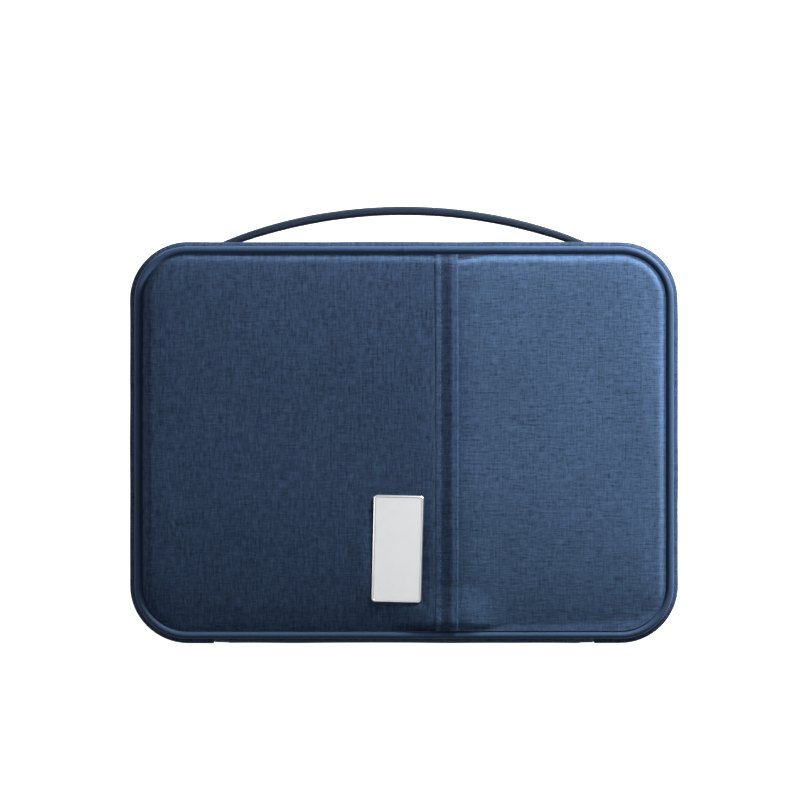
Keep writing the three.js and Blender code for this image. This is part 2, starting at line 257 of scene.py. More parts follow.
def weave_group():
    """Plain weave with uneven threads: the tone of each thread, and the height of the cloth."""
    if "Heathered weave" in bpy.data.node_groups:
        return bpy.data.node_groups["Heathered weave"]
    inputs = [
        ("Vector", "NodeSocketVector", None),
        ("Threads per metre", "NodeSocketFloat", 1900.0),
        ("Heather", "NodeSocketFloat", 1.0),
    ]
    outputs = [("Tone", "NodeSocketFloat"), ("Height", "NodeSocketFloat")]
    tree = new_group("Heathered weave", inputs, outputs)
    inside = tree.nodes.new("NodeGroupInput")
    out = tree.nodes.new("NodeGroupOutput")
    vector = inside.outputs["Vector"]
    layers = [
        ((960, 170, 1), 2.0, 1.0),
        ((170, 960, 1), 2.0, 0.78),
        ((700, 34, 1), 2.0, 0.5),
        ((34, 700, 1), 2.0, 0.3),
        ((1700, 1700, 1), 1.0, 0.6),
    ]
    mixed = 0.0
    for scale, detail, weight in layers:
        streaks = noise_of(tree, scaled(tree, vector, scale), detail, 0.58)
        mixed = math_node(tree, "ADD", math_node(tree, "MULTIPLY", streaks, weight), mixed)
    centred = math_node(tree, "SUBTRACT", mixed, sum(weight for _, _, weight in layers) / 2)
    strong = math_node(tree, "MULTIPLY", centred, inside.outputs["Heather"])
    tone = math_node(tree, "ADD", strong, 0.5, clamp=True)
    tree.links.new(tone, out.inputs["Tone"])
    across, along = separated(tree, vector)
    count = inside.outputs["Threads per metre"]
    phase_a = math_node(tree, "MULTIPLY", math_node(tree, "MULTIPLY", across, count), math.pi)
    phase_b = math_node(tree, "MULTIPLY", math_node(tree, "MULTIPLY", along, count), math.pi)
    warp = math_node(tree, "ABSOLUTE", math_node(tree, "SINE", phase_a))
    weft = math_node(tree, "ABSOLUTE", math_node(tree, "SINE", phase_b))
    over = math_node(tree, "MULTIPLY", math_node(tree, "SINE", phase_a), math_node(tree, "SINE", phase_b))
    over = math_node(tree, "GREATER_THAN", over, 0.0)
    under = math_node(tree, "SUBTRACT", 1.0, over)
    height = shared(tree, warp, over, weft, under)
    height = shared(tree, height, 0.6, tone, 0.5)
    tree.links.new(height, out.inputs["Height"])
    return tree


def wear_group():
    """Broad uneven fading, a little dust and handling marks: one mask from 0 to 1."""
    if "Handling wear" in bpy.data.node_groups:
        return bpy.data.node_groups["Handling wear"]
    tree = new_group("Handling wear", [("Vector", "NodeSocketVector", None)], [("Mask", "NodeSocketFloat")])
    inside = tree.nodes.new("NodeGroupInput")
    out = tree.nodes.new("NodeGroupOutput")
    broad = noise_of(tree, scaled(tree, inside.outputs["Vector"], (16, 16, 16)), 3.0, 0.55)
    small = noise_of(tree, scaled(tree, inside.outputs["Vector"], (130, 130, 130)), 4.0, 0.6)
    mask = shared(tree, broad, 0.7, small, 0.3)
    tree.links.new(mask, out.inputs["Mask"])
    return tree


# ---- materials ----


def new_material(name):
    material = bpy.data.materials.new(name)
    material.use_nodes = True
    tree = material.node_tree
    return material, tree, tree.nodes["Principled BSDF"]


def own_map(tree):
    node = tree.nodes.new("ShaderNodeUVMap")
    node.uv_map = "cloth"
    return node.outputs[0]


def object_point(tree):
    return tree.nodes.new("ShaderNodeTexCoord").outputs["Object"]


def use_group(tree, group, vector, **values):
    node = tree.nodes.new("ShaderNodeGroup")
    node.node_tree = group
    tree.links.new(vector, node.inputs["Vector"])
    for label, value in values.items():
        node.inputs[label.replace("_", " ")].default_value = value
    return node


def ramp(tree, value, stops):
    node = tree.nodes.new("ShaderNodeValToRGB")
    tree.links.new(value, node.inputs[0])
    elements = node.color_ramp.elements
    while len(elements) < len(stops):
        elements.new(0.5)
    for element, (place, colour) in zip(elements, stops):
        element.position = place
        element.color = (*colour, 1)
    return node.outputs[0]


def bump(tree, height, normal_socket, distance, strength=1.0):
    node = tree.nodes.new("ShaderNodeBump")
    node.inputs["Strength"].default_value = strength
    node.inputs["Distance"].default_value = distance
    tree.links.new(height, node.inputs["Height"])
    tree.links.new(node.outputs[0], normal_socket)
    return node


def remap(tree, value, low, high):
    node = tree.nodes.new("ShaderNodeMapRange")
    node.inputs["To Min"].default_value = low
    node.inputs["To Max"].default_value = high
    tree.links.new(value, node.inputs["Value"])
    return node.outputs[0]


def mixed_colour(colour, factor):
    return tuple(channel * factor for channel in colour)


def woven(name, dark, light, threads, heather, roughness, sheen, depth):
    """Cloth in two thread colours, read from the piece's own map so that it follows the surface."""
    if name in bpy.data.materials:
        return bpy.data.materials[name]
    material, tree, shader = new_material(name)
    place = own_map(tree)
    weave = use_group(tree, weave_group(), place, Threads_per_metre=threads, Heather=heather)
    wear = use_group(tree, wear_group(), object_point(tree))
    middle_tone = tuple((a + b) / 2 for a, b in zip(dark, light))
    stops = [(0.0, dark), (0.5, middle_tone), (1.0, light)]
    colour = ramp(tree, weave.outputs["Tone"], stops)
    fade = remap(tree, wear.outputs["Mask"], 0.82, 1.16)
    shaded = tree.nodes.new("ShaderNodeVectorMath")
    shaded.operation = "SCALE"
    tree.links.new(colour, shaded.inputs[0])
    tree.links.new(fade, shaded.inputs["Scale"])
    tree.links.new(shaded.outputs[0], shader.inputs["Base Color"])
    shine = remap(tree, weave.outputs["Tone"], roughness + 0.08, roughness - 0.08)
    tree.links.new(shine, shader.inputs["Roughness"])
    shader.inputs["Sheen Weight"].default_value = sheen
    shader.inputs["Sheen Roughness"].default_value = 0.45
    shader.inputs["Sheen Tint"].default_value = (0.62, 0.72, 0.9, 1)
    shader.inputs["Specular IOR Level"].default_value = 0.16
    bump(tree, weave.outputs["Height"], shader.inputs["Normal"], depth, 0.6)
    return material


def oxford(tone=1.0):
    """The outer cloth. The pocket's piece is cut across the grain and made a lighter copy of the same cloth:
    painted light, for the brighter light on the right-hand cover.
    """
    c = colours()
    name = "heathered_cloth" if tone == 1.0 else "heathered_pocket_cloth"
    # A tone above 1 makes a paler copy of the same cloth: painted light, not a different dye.
    painted_lighter = (tone**1.1, tone, tone**0.86)
    dark, light = (tuple(a * b for a, b in zip(colour, painted_lighter)) for colour in (c.cloth_dark, c.cloth_light))
    heather = 1.5 if tone == 1.0 else 1.15
    return woven(name, dark, light, 1900, heather, 0.85, 0.05, 0.12 * MM)


def shaded_cloth(name, colour, shades, **look):
    """Cloth whose dark and light threads are two shades of one colour."""
    dark, light = (mixed_colour(colour, shade) for shade in shades)
    return woven(name, dark, light, **look)


def piping_cloth():
    look = {"threads": 3200, "heather": 0.5, "roughness": 0.62, "sheen": 0.12, "depth": 0.05 * MM}
    return shaded_cloth("piping_wrap", colours().piping, (0.72, 1.35), **look)


def strap_cloth():
    look = {"threads": 1300, "heather": 0.7, "roughness": 0.75, "sheen": 0.2, "depth": 0.2 * MM}
    return shaded_cloth("strap_webbing", colours().strap, (0.6, 1.6), **look)


def lining_cloth():
    look = {"threads": 2600, "heather": 0.5, "roughness": 0.62, "sheen": 0.2, "depth": 0.05 * MM}
    return shaded_cloth("lining_cloth", colours().lining, (0.75, 1.3), **look)


def pocket_cloth():
    look = {"threads": 2200, "heather": 0.7, "roughness": 0.68, "sheen": 0.2, "depth": 0.07 * MM}
    return shaded_cloth("sleeve_cloth", mixed_colour(colours().lining, 1.5), (0.75, 1.3), **look)


def tape_cloth():
    look = {"threads": 1700, "heather": 0.5, "roughness": 0.7, "sheen": 0.15, "depth": 0.1 * MM}
    return shaded_cloth("zip_tape_cloth", colours().strap, (0.8, 1.9), **look)


def mottled(name, colour, roughness, metallic=0.0, grain=(400, 400, 400), depth=0.02 * MM, spread=0.12):
    """Moulded or cast stuff: small changes of tone, shine and height over the surface."""
    if name in bpy.data.materials:
        return bpy.data.materials[name]
    material, tree, shader = new_material(name)
    place = object_point(tree)
    wear = use_group(tree, wear_group(), place)
    grains = noise_of(tree, scaled(tree, place, grain), 4.0, 0.6)
    stops = [(0.3, mixed_colour(colour, 1 - spread)), (0.7, mixed_colour(colour, 1 + spread))]
    tree.links.new(ramp(tree, wear.outputs["Mask"], stops), shader.inputs["Base Color"])
    tree.links.new(remap(tree, grains, roughness - 0.1, roughness + 0.1), shader.inputs["Roughness"])
    shader.inputs["Metallic"].default_value = metallic
    bump(tree, grains, shader.inputs["Normal"], depth, 0.4)
    return material


def thread():
    return mottled("sewing_thread", tuple(colours().thread), 0.6, grain=(3000, 3000, 3000), depth=0.05 * MM)


def coil_plastic():
    return mottled("zip_coil_plastic", mixed_colour(tuple(colours().strap), 1.4), 0.4)


def dark_metal():
    return mottled("dark_zip_metal", (0.20, 0.21, 0.235), 0.3, 1.0, (900, 900, 900), 0.01 * MM)


def plate_metal():
    """Satin plate, brushed along its length."""
    return mottled("satin_plate", tuple(colours().metal), 0.36, 1.0, (4200, 60, 4200), 0.012 * MM, 0.04)


def foam_stuff():
    return mottled("foam_pad", (0.09, 0.10, 0.11), 0.9, grain=(1500, 1500, 1500), depth=0.2 * MM)


def board_stuff():
    return mottled("grey_board", (0.45, 0.42, 0.36), 0.85, grain=(300, 900, 300), depth=0.05 * MM)


def netting():
    """Fine net: crossing cords with open holes between them."""
    if "netting" in bpy.data.materials:
        return bpy.data.materials["netting"]
    material, tree, shader = new_material("netting")
    across, along = separated(tree, scaled(tree, own_map(tree), (520, 520, 1), math.pi / 4))
    ridges = []
    for axis in (across, along):
        turns = math_node(tree, "MULTIPLY", axis, math.pi)
        wave = math_node(tree, "ABSOLUTE", math_node(tree, "SINE", turns))
        ridges.append(math_node(tree, "LESS_THAN", wave, 0.42))
    cord = math_node(tree, "MAXIMUM", ridges[0], ridges[1])
    fuzz = noise_of(tree, scaled(tree, object_point(tree), (900, 900, 900)), 3.0, 0.6)
    colour = mixed_colour(tuple(colours().strap), 1.3)
    stops = [(0.3, mixed_colour(colour, 0.7)), (0.7, mixed_colour(colour, 1.6))]
    tree.links.new(ramp(tree, fuzz, stops), shader.inputs["Base Color"])
    tree.links.new(cord, shader.inputs["Alpha"])
    tree.links.new(remap(tree, fuzz, 0.6, 0.85), shader.inputs["Roughness"])
    bump(tree, fuzz, shader.inputs["Normal"], 0.05 * MM, 0.5)
    return material


# ---- modelling helpers ----


def deselect():
    if bpy.context.object and bpy.context.object.mode != "OBJECT":
        bpy.ops.object.mode_set(mode="OBJECT")
    bpy.ops.object.select_all(action="DESELECT")


def pick(obj):
    deselect()
    obj.select_set(True)
    bpy.context.view_layer.objects.active = obj


def edit_all(obj):
    pick(obj)
    bpy.ops.object.mode_set(mode="EDIT")
    bpy.ops.mesh.select_all(action="SELECT")


def leave_edit():
    bpy.ops.object.mode_set(mode="OBJECT")


def settle(obj):
    """Moves the object's place, turn and size into its mesh."""
    pick(obj)
    bpy.ops.object.transform_apply(location=True, rotation=True, scale=True)


def points_of(obj):
    co = np.zeros(len(obj.data.vertices) * 3)
    obj.data.vertices.foreach_get("co", co)
    return co.reshape(-1, 3)


def move_points(obj, co):
    obj.data.vertices.foreach_set("co", np.asarray(co, float).ravel())
    obj.data.update()


def finish_piece(obj, name, body, material, slot, *nodes):
    obj.name = name
    obj.data.name = name
    obj.data.materials.clear()
    obj.data.materials.append(material)
    if body:
        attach(obj, body)
    if nodes:
        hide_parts(*nodes)
    return obj


def smooth(obj, angle=math.radians(40)):
    pick(obj)
    bpy.ops.object.shade_smooth_by_angle(angle=angle)


def apply_modifier(obj, kind, **values):
    pick(obj)
    modifier = obj.modifiers.new(kind.title(), kind)
    for key, value in values.items():
        setattr(modifier, key, value)
    bpy.ops.object.modifier_apply(modifier=modifier.name)


def lay_map(obj, place=None):
    """Gives the piece its own cloth map, in metres. Without a rule it is the view from above."""
    if obj.data.uv_layers.get("cloth") is None:
        obj.data.uv_layers.new(name="cloth")
    while len(obj.data.uv_layers) > 1:
        other = next(entry for entry in obj.data.uv_layers if entry.name != "cloth")
        obj.data.uv_layers.remove(other)
    layer = obj.data.uv_layers["cloth"]
    co = points_of(obj)
    index = np.zeros(len(obj.data.loops), int)
    obj.data.loops.foreach_get("vertex_index", index)
    flat = co[:, :2] if place is None else place(co)
    layer.data.foreach_set("uv", flat[index].ravel())


def sheet_grid(name, columns, rows, place, lengths):
    """A grid whose points are placed by a rule of two numbers from 0 to 1, with a map in metres."""
    deselect()
    bpy.ops.mesh.primitive_grid_add(x_subdivisions=columns, y_subdivisions=rows, size=1)
    obj = bpy.context.object
    obj.name = name
    layer = obj.data.uv_layers[0]
    layer.name = "cloth"
    uv = np.zeros(len(layer.data) * 2)
    layer.data.foreach_get("uv", uv)
    layer.data.foreach_set("uv", (uv.reshape(-1, 2) * np.array(lengths)).ravel())
    co = points_of(obj) + np.array([0.5, 0.5, 0.0])
    move_points(obj, [place(u, v) for u, v, _ in co])
    return obj


def close_seams(obj):
    edit_all(obj)
    bpy.ops.mesh.remove_doubles(threshold=1e-6)
    bpy.ops.mesh.select_all(action="DESELECT")
    bpy.ops.mesh.select_mode(type="EDGE")
    bpy.ops.mesh.select_non_manifold(extend=False, use_wire=False, use_multi_face=False,
                                     use_non_contiguous=False, use_verts=False)
    bpy.ops.mesh.fill_holes(sides=0)
    bpy.ops.mesh.select_all(action="SELECT")
    bpy.ops.mesh.normals_make_consistent(inside=False)
    leave_edit()


def rim(inset, closed=True, spacing=3.5 * MM, start_end=0.0):
    """Stations round the body at an inset from the wall: (x, y, outward x, outward y, length)."""
    radius = sizes().corner_radius
    r = radius - inset
    cx, cy = HALF_W - radius, HALF_H - radius
    hx, hy = HALF_W - inset, HALF_H - inset
    legs = []

    def line(a, b, normal):
        legs.append(("line", a, b, normal))

    def arc(centre, start):
        legs.append(("arc", centre, start))

    first = start_end if not closed else 0.0
    line((first, -hy), (cx, -hy), (0, -1))
    arc((cx, -cy), -QUARTER)
    line((hx, -cy), (hx, cy), (1, 0))
    arc((cx, cy), 0)
    line((cx, hy), (-cx, hy), (0, 1))
    arc((-cx, cy), QUARTER)
    line((-hx, cy), (-hx, -cy), (-1, 0))
    arc((-cx, -cy), 2 * QUARTER)
    line((-cx, -hy), (-first, -hy), (0, -1))
    stations = []
    run = 0.0
    for leg in legs:
        if leg[0] == "line":
            _, a, b, normal = leg
            length = math.dist(a, b)
            steps = max(1, round(length / spacing))
            for i in range(steps):
                t = i / steps
                x, y = a[0] + (b[0] - a[0]) * t, a[1] + (b[1] - a[1]) * t
                stations.append((x, y, *normal, run + t * length))
        else:
            _, centre, start = leg
            length = r * QUARTER
            steps = 16
            for i in range(steps):
                angle = start + QUARTER * i / steps
                nx, ny = math.cos(angle), math.sin(angle)
                stations.append((centre[0] + r * nx, centre[1] + r * ny, nx, ny, run + length * i / steps))
        run += length
    stations.append((-first, -hy, 0, -1, run))
    return stations


def resampled(profile, count):
    """Points spread evenly along a profile of (outward, height) pairs."""
    line = np.array(profile)
    along = np.concatenate([[0], np.cumsum(np.linalg.norm(np.diff(line, axis=0), axis=1))])
    at = np.linspace(0, along[-1], count + 1)
    return np.stack([np.interp(at, along, line[:, k]) for k in range(2)], axis=1), along[-1]


def swept(name, stations, profile, jitter=None):
    """Runs a profile of (inset, height) round the stations. The stations lie at inset 0."""
    columns, rows = len(stations) - 1, len(profile) - 1
    girth = float(np.linalg.norm(np.diff(np.array(profile), axis=0), axis=1).sum())

    def place(u, v):
        x, y, nx, ny, run = stations[round(u * columns)]
        inset, z = profile[round(v * rows)]
        if jitter:
            push, lift = jitter(run, v)
            inset, z = inset - push, z + lift
        return x - nx * inset, y - ny * inset, z

    return sheet_grid(name, columns, rows, place, (stations[-1][4], girth))


def ring(centre, radius, count, flat=1.0):
    """A round profile of (inset, height) points, closed on itself."""
    turns = [2 * math.pi * i / count for i in range(count + 1)]
    return [(centre[0] + radius * math.cos(a), centre[1] + radius * flat * math.sin(a)) for a in turns]


def rounded_block(name, lo, hi, radius, segments=3):
    """A box with rounded edges, from its corners."""
    deselect()
    bpy.ops.mesh.primitive_cube_add(size=1, location=(Vector(lo) + Vector(hi)) / 2)
    obj = bpy.context.object
    obj.name = name
    obj.scale = Vector(hi) - Vector(lo)
    settle(obj)
    edit_all(obj)
    bpy.ops.mesh.bevel(offset=radius, segments=segments, affect="EDGES")
    leave_edit()
    smooth(obj)
    return obj


def corner_block(name, lo, hi, left, right, segments=12):
    """A flat box whose upright edges are rounded, with one radius for each side."""
    deselect()
    bpy.ops.mesh.primitive_cube_add(size=1, location=(Vector(lo) + Vector(hi)) / 2)
    obj = bpy.context.object
    obj.name = name
    obj.scale = Vector(hi) - Vector(lo)
    settle(obj)
    for side, radius in ((-1, left), (1, right)):
        if radius <= 0:
            continue
        edge_x = lo[0] if side < 0 else hi[0]
        edit_all(obj)
        bpy.ops.mesh.select_mode(type="EDGE")
        bpy.ops.mesh.select_all(action="DESELECT")
        leave_edit()
        verts = obj.data.vertices
        for edge in obj.data.edges:
            a, b = (verts[i].co for i in edge.vertices)
            upright = abs(a.x - b.x) + abs(a.y - b.y) < 1e-6
            edge.select = upright and abs(a.x - edge_x) < 1e-6
        bpy.ops.object.mode_set(mode="EDIT")
        bpy.ops.mesh.bevel(offset=radius, segments=segments, affect="EDGES")
        leave_edit()
    return obj


def zip_metal(obj, name, body, node):
    """Finishes a metal part of a zip."""
    lay_map(obj)
    smooth(obj)
    finish_piece(obj, name, body, dark_metal(), "zip_metal", node)


def copies(name, model, places):
    """One mesh that holds a copy of a small model at each place (a matrix), and no model left over."""
    co = points_of(model)
    faces = [tuple(p.vertices) for p in model.data.polygons]
    all_points, all_faces = [], []
    for i, matrix in enumerate(places):
        m = np.array(matrix)
        all_points.append(co @ m[:3, :3].T + m[:3, 3])
        all_faces.extend(tuple(index + i * len(co) for index in face) for face in faces)
    mesh = bpy.data.meshes.new(name)
    mesh.from_pydata(np.concatenate(all_points).tolist(), [], all_faces)
    mesh.polygons.foreach_set("use_smooth", [True] * len(mesh.polygons))
    obj = bpy.data.objects.new(name, mesh)
    bpy.context.scene.collection.objects.link(obj)
    bpy.data.objects.remove(model)
    return obj


def bead_model(length, width, height, segments=7, rings=5):
    """A small rounded grain along X, such as a stitch or a loop of a zip's coil."""
    deselect()
    turn = (0, QUARTER, 0)
    bpy.ops.mesh.primitive_uv_sphere_add(segments=segments, ring_count=rings, radius=0.5, rotation=turn)
    obj = bpy.context.object
    settle(obj)
    co = points_of(obj)
    co[:, 0] = np.sign(co[:, 0]) * np.abs(co[:, 0] * 2) ** 0.6 / 2
    move_points(obj, co * np.array([length, width, height]))
    return obj


def facing(place, along, up):
    """A matrix that puts X along the seam and Z along the cloth's outward direction."""
    x = Vector(along).normalized()
    z = Vector(up)
    z = (z - x * z.dot(x)).normalized()
    y = z.cross(x)
    turn = Matrix((x, y, z)).transposed().to_4x4()
    return Matrix.Translation(Vector(place)) @ turn


def stitch_row(name, body, line, up, sink=0.0):
    """Stitches along a line of points, lying on cloth that faces the given way."""
    pitch = sizes().stitch_pitch
    points = np.array([tuple(p) for p in line], float)
    along = np.concatenate([[0], np.cumsum(np.linalg.norm(np.diff(points, axis=0), axis=1))])
    places = []
    for s in np.arange(pitch / 2, along[-1], pitch):
        here = [np.interp(s, along, points[:, k]) for k in range(3)]
        ahead = [np.interp(min(s + pitch / 4, along[-1]), along, points[:, k]) for k in range(3)]
        behind = [np.interp(s - pitch / 4, along, points[:, k]) for k in range(3)]
        facing_up = up(s) if callable(up) else up
        spot = Vector(here) - Vector(facing_up) * sink
        places.append(facing(spot, Vector(ahead) - Vector(behind), facing_up))
    model = bead_model(pitch * 0.74, 0.5 * MM, 0.42 * MM)
    obj = copies(name, model, places)
    lay_map(obj)
    return finish_piece(obj, name, body, thread(), "navy_oxford")


# ---- padded covers ----


def edge_distance(co, lo, hi, left, right):
    """How far each point lies inside a box whose left and right corners are rounded."""
    x, y = co[:, 0], co[:, 1]
    radius = np.where(x > (lo[0] + hi[0]) / 2, right, left)
    cx, cy = (lo[0] + hi[0]) / 2, (lo[1] + hi[1]) / 2
    qx = np.abs(x - cx) - (hi[0] - lo[0]) / 2 + radius
    qy = np.abs(y - cy) - (hi[1] - lo[1]) / 2 + radius
    outside = np.hypot(np.maximum(qx, 0), np.maximum(qy, 0))
    return radius - outside - np.minimum(np.maximum(qx, qy), 0)


def fade(distance, width, power=2.0):
    """1 at an edge, falling to 0 at the given distance from it."""
    return np.clip(1 - distance / width, 0, 1) ** power


def bump_at(x, y, cx, cy, sx, sy):
    return np.exp(-(((x - cx) / sx) ** 2) - ((y - cy) / sy) ** 2)


def ripples(x, y, scale, seed):
    return np.array([noise.noise(Vector((a * scale, b * scale, seed))) for a, b in zip(x, y)])


def front_surface(x, y):
    """Height of the front cover's outer face: plump in the middle, rolling down to the piped seam."""
    size = sizes()
    x, y = np.atleast_1d(np.asarray(x, float)), np.atleast_1d(np.asarray(y, float))
    side, top = HALF_W - PANEL_IN, HALF_H - PANEL_IN
    points = np.stack([x, y], axis=1)
    r = cover_radius()
    inside = np.maximum(edge_distance(points, (-side, -top), (side, top), r, r), 0)
    right = np.clip((x - 0.02) / 0.05, 0, 1)
    high = 1 - (0.42 - 0.30 * right) * fade(top - y, 72 * MM)
    low = (1 - 0.88 * fade(top + y, 98 * MM)) * (1 - (0.40 + 0.25 * right) * fade(top + y, 34 * MM))
    mouth = fade(np.maximum(np.abs(x - (FLAP_X0 + FLAP_X1) / 2) - 13 * MM, 0), 34 * MM)
    level = high * low
    level = level + mouth * np.maximum(0.54 - level, 0)
    across = (1 - 0.10 * fade(x + side, 50 * MM)) * (1 - 0.42 * fade(side - x, 120 * MM))
    toward = np.clip(0.5 + x / side + y / top, 0, 1)
    ledge = 1.2 * MM * toward
    roll = 1 - fade(np.maximum(inside - ledge, 0), size.panel_roll * (1 - 0.15 * toward), 2.6 + 1.4 * toward)
    wave = 0.45 * MM * ripples(x, y, 13, 3.7) + 0.16 * MM * ripples(x, y, 34, 8.1)
    wave += 0.9 * MM * bump_at(x, y, 0.150, 0.026, 0.016, 0.030)
    dents = 0.8 * MM * bump_at(x, y, 0.156, 0.085, 0.012, 0.022)
    dents += 0.6 * MM * bump_at(x, y, 0.156, -0.052, 0.012, 0.030)
    wave -= dents
    gather = 0.30 * MM * ripples(x, y, 62, 1.3)
    gather = gather * np.exp(-inside / (7 * MM)) * np.clip(inside / (2 * MM), 0, 1)
    rise = FRONT_TOP + size.panel_crown - FRONT_SEAM_Z - SEAM_STEP
    return FRONT_SEAM_Z + SEAM_STEP + (rise * level * across + wave) * roll + gather


def plate_plane():
    """Centre of the plate on the cloth, and how it leans with the cloth."""
    lo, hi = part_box("metal_plate")
    x, y = (lo.x + hi.x) / 2, (lo.y + hi.y) / 2
    reach = 0.36 * (hi.y - lo.y)
    low, high = front_surface([x, x], [y - reach, y + reach])
    return Vector((x, y, (low + high) / 2)), math.atan2(high - low, 2 * reach)


def pad_block(name, lo, hi, left, right, columns, rows, cuts=2):
    """A closed pad on a grid that is finer towards its edges and follows the rounded corners."""
    deselect()
    bpy.ops.mesh.primitive_grid_add(x_subdivisions=columns, y_subdivisions=rows, size=2)
    obj = bpy.context.object
    obj.name = name
    edit_all(obj)
    bpy.ops.mesh.extrude_region_move(TRANSFORM_OT_translate={"value": (0, 0, 1)})
    bpy.ops.mesh.select_all(action="SELECT")
    bpy.ops.mesh.normals_make_consistent(inside=False)
    bpy.ops.mesh.select_all(action="DESELECT")
    leave_edit()
    verts = obj.data.vertices
    for edge in obj.data.edges:
        a, b = (verts[i].co.z for i in edge.vertices)
        edge.select = abs(a - b) > 0.5
    bpy.ops.object.mode_set(mode="EDIT")
    bpy.ops.mesh.select_mode(type="EDGE")
    bpy.ops.mesh.subdivide(number_cuts=cuts)
    leave_edit()
    co = points_of(obj)
    half = (np.array(hi[:2]) - np.array(lo[:2])) / 2
    centre = (np.array(hi[:2]) + np.array(lo[:2])) / 2
    spread = np.sign(co[:, :2]) * (1 - (1 - np.minimum(np.abs(co[:, :2]), 1)) ** 1.5) * half
    radius = np.where(spread[:, 0] > 0, right, left)
    corner = np.abs(spread) - (half - radius[:, None])
    inside = (corner > 0).all(axis=1)
    a, b = corner[inside, 0] / radius[inside], corner[inside, 1] / radius[inside]
    disc = np.stack([a * np.sqrt(1 - b**2 / 2), b * np.sqrt(1 - a**2 / 2)], axis=1)
    spread[inside] = np.sign(spread[inside]) * ((half - radius[inside, None]) + disc * radius[inside, None])
    place = np.concatenate([spread + centre, lo[2] + co[:, 2:] * (hi[2] - lo[2])], axis=1)
    move_points(obj, place)
    return obj


def air_swell(model, cap, side):
    """Swells a remeshed copy of the pad as cloth: where its outer points were, how far they rose."""
    pick(model)
    bpy.ops.object.duplicate()
    soft = bpy.context.object
    soft.data.remesh_voxel_size = 4.5 * MM
    bpy.ops.object.voxel_remesh()
    start = points_of(soft)
    modifier = soft.modifiers.new("Cloth", "CLOTH")
    cloth = modifier.settings
    cloth.quality = 5
    cloth.mass = 0.3
    cloth.use_pressure = True
    cloth.uniform_pressure_force = 4
    cloth.effector_weights.gravity = 0
    steps = sizes().cloth_steps
    modifier.point_cache.frame_start = 1
    modifier.point_cache.frame_end = steps
    for step in range(1, steps + 1):
        bpy.context.scene.frame_set(step)
    bpy.ops.object.modifier_apply(modifier=modifier.name)
    bpy.context.scene.frame_set(1)
    rise = np.clip((points_of(soft) - start)[:, 2], -cap, cap)
    outer = np.flatnonzero((start[:, 2] - start[:, 2].mean()) * side > 0)
    tree = KDTree(len(outer))
    for index in outer:
        tree.insert(start[index], int(index))
    tree.balance()
    bpy.data.objects.remove(soft)
    return tree, rise


def swell_at(swell, points):
    if swell is None:
        return np.zeros(len(points))
    tree, rise = swell
    result = []
    for point in points:
        near = tree.find_n(point, 28)
        weight = np.array([math.exp(-((distance / (6 * MM)) ** 2)) + 1e-9 for _, _, distance in near])
        result.append((weight * rise[[index for _, index, _ in near]]).sum() / weight.sum())
    return np.array(result)


def across_grain(co):
    """A map for cloth that was cut with its threads turned a quarter."""
    return co[:, [1, 0]]


def front_pad(name, node, lo, hi, radii, seam_side, tone):
    """A foam-backed part of the front cover, flat inside, whose outer face follows the cover's shape."""
    obj = pad_block(name, lo, hi, *radii, 110, 100)
    co = points_of(obj)
    share = (co[:, 2] - lo[2]) / (hi[2] - lo[2])
    swell = air_swell(obj, 1.2 * MM, 1)
    side, top, r = HALF_W - PANEL_IN, HALF_H - PANEL_IN, cover_radius()
    inside = np.maximum(edge_distance(co, (-side, -top), (side, top), r, r), 0)
    surface = front_surface(co[:, 0], co[:, 1])
    outer = np.stack([co[:, 0], co[:, 1], np.full(len(co), hi[2])], axis=1)
    surface += 0.5 * swell_at(swell, outer) * np.clip(inside / (14 * MM), 0, 1)
    centre, lean = plate_plane()
    plane = centre.z + math.tan(lean) * (co[:, 1] - centre.y)
    box_x, box_y = np.abs(co[:, 0] - centre.x) - 15.5 * MM, np.abs(co[:, 1] - centre.y) - 33.5 * MM
    under = fade(np.maximum(np.maximum(box_x, box_y), 0), 5 * MM, 1.5)
    surface = surface + (plane - surface) * under
    if seam_side > 0:
        surface -= 0.3 * MM * fade(hi[0] - co[:, 0], 2.4 * MM)
    else:
        beside = co[:, 0] - FLAP_X1
        surface -= 0.45 * MM + 0.55 * MM * fade(beside, 14 * MM)
        surface -= 0.9 * MM * fade(beside, 22 * MM) * fade(top - np.abs(co[:, 1]), 9 * MM)
        over_mouth = co[:, 0] < MOUTH_HI.x + 1.5 * MM
        surface = np.maximum(surface, np.where(over_mouth, MOUTH_HI.z + 0.5 * MM, POCKET_RIM))
    base = np.minimum(lo[2], surface - 0.35 * MM)
    co[:, 2] = base + (surface - base) * share
    if seam_side < 0:
        gap = 2.4 * MM * fade(beside, 24 * MM, 1.6) * fade(top - co[:, 1], 12 * MM, 1.0)
        co[:, 1] -= gap
    edge_pull = 0.7 * MM * (1 - share) * np.clip(1 - inside / (3 * MM), 0, 1)
    co[:, 1] -= np.sign(co[:, 1]) * edge_pull * (np.abs(co[:, 1]) > top - 3 * MM)
    move_points(obj, co)
    lay_map(obj, None if seam_side > 0 else across_grain)
    smooth(obj, math.radians(60))
    # A tone above 1 gives this cover a paler copy of the cloth: painted light.
    finish_piece(obj, name, "front_cover", oxford(tone), "navy_oxford", node)
    return obj


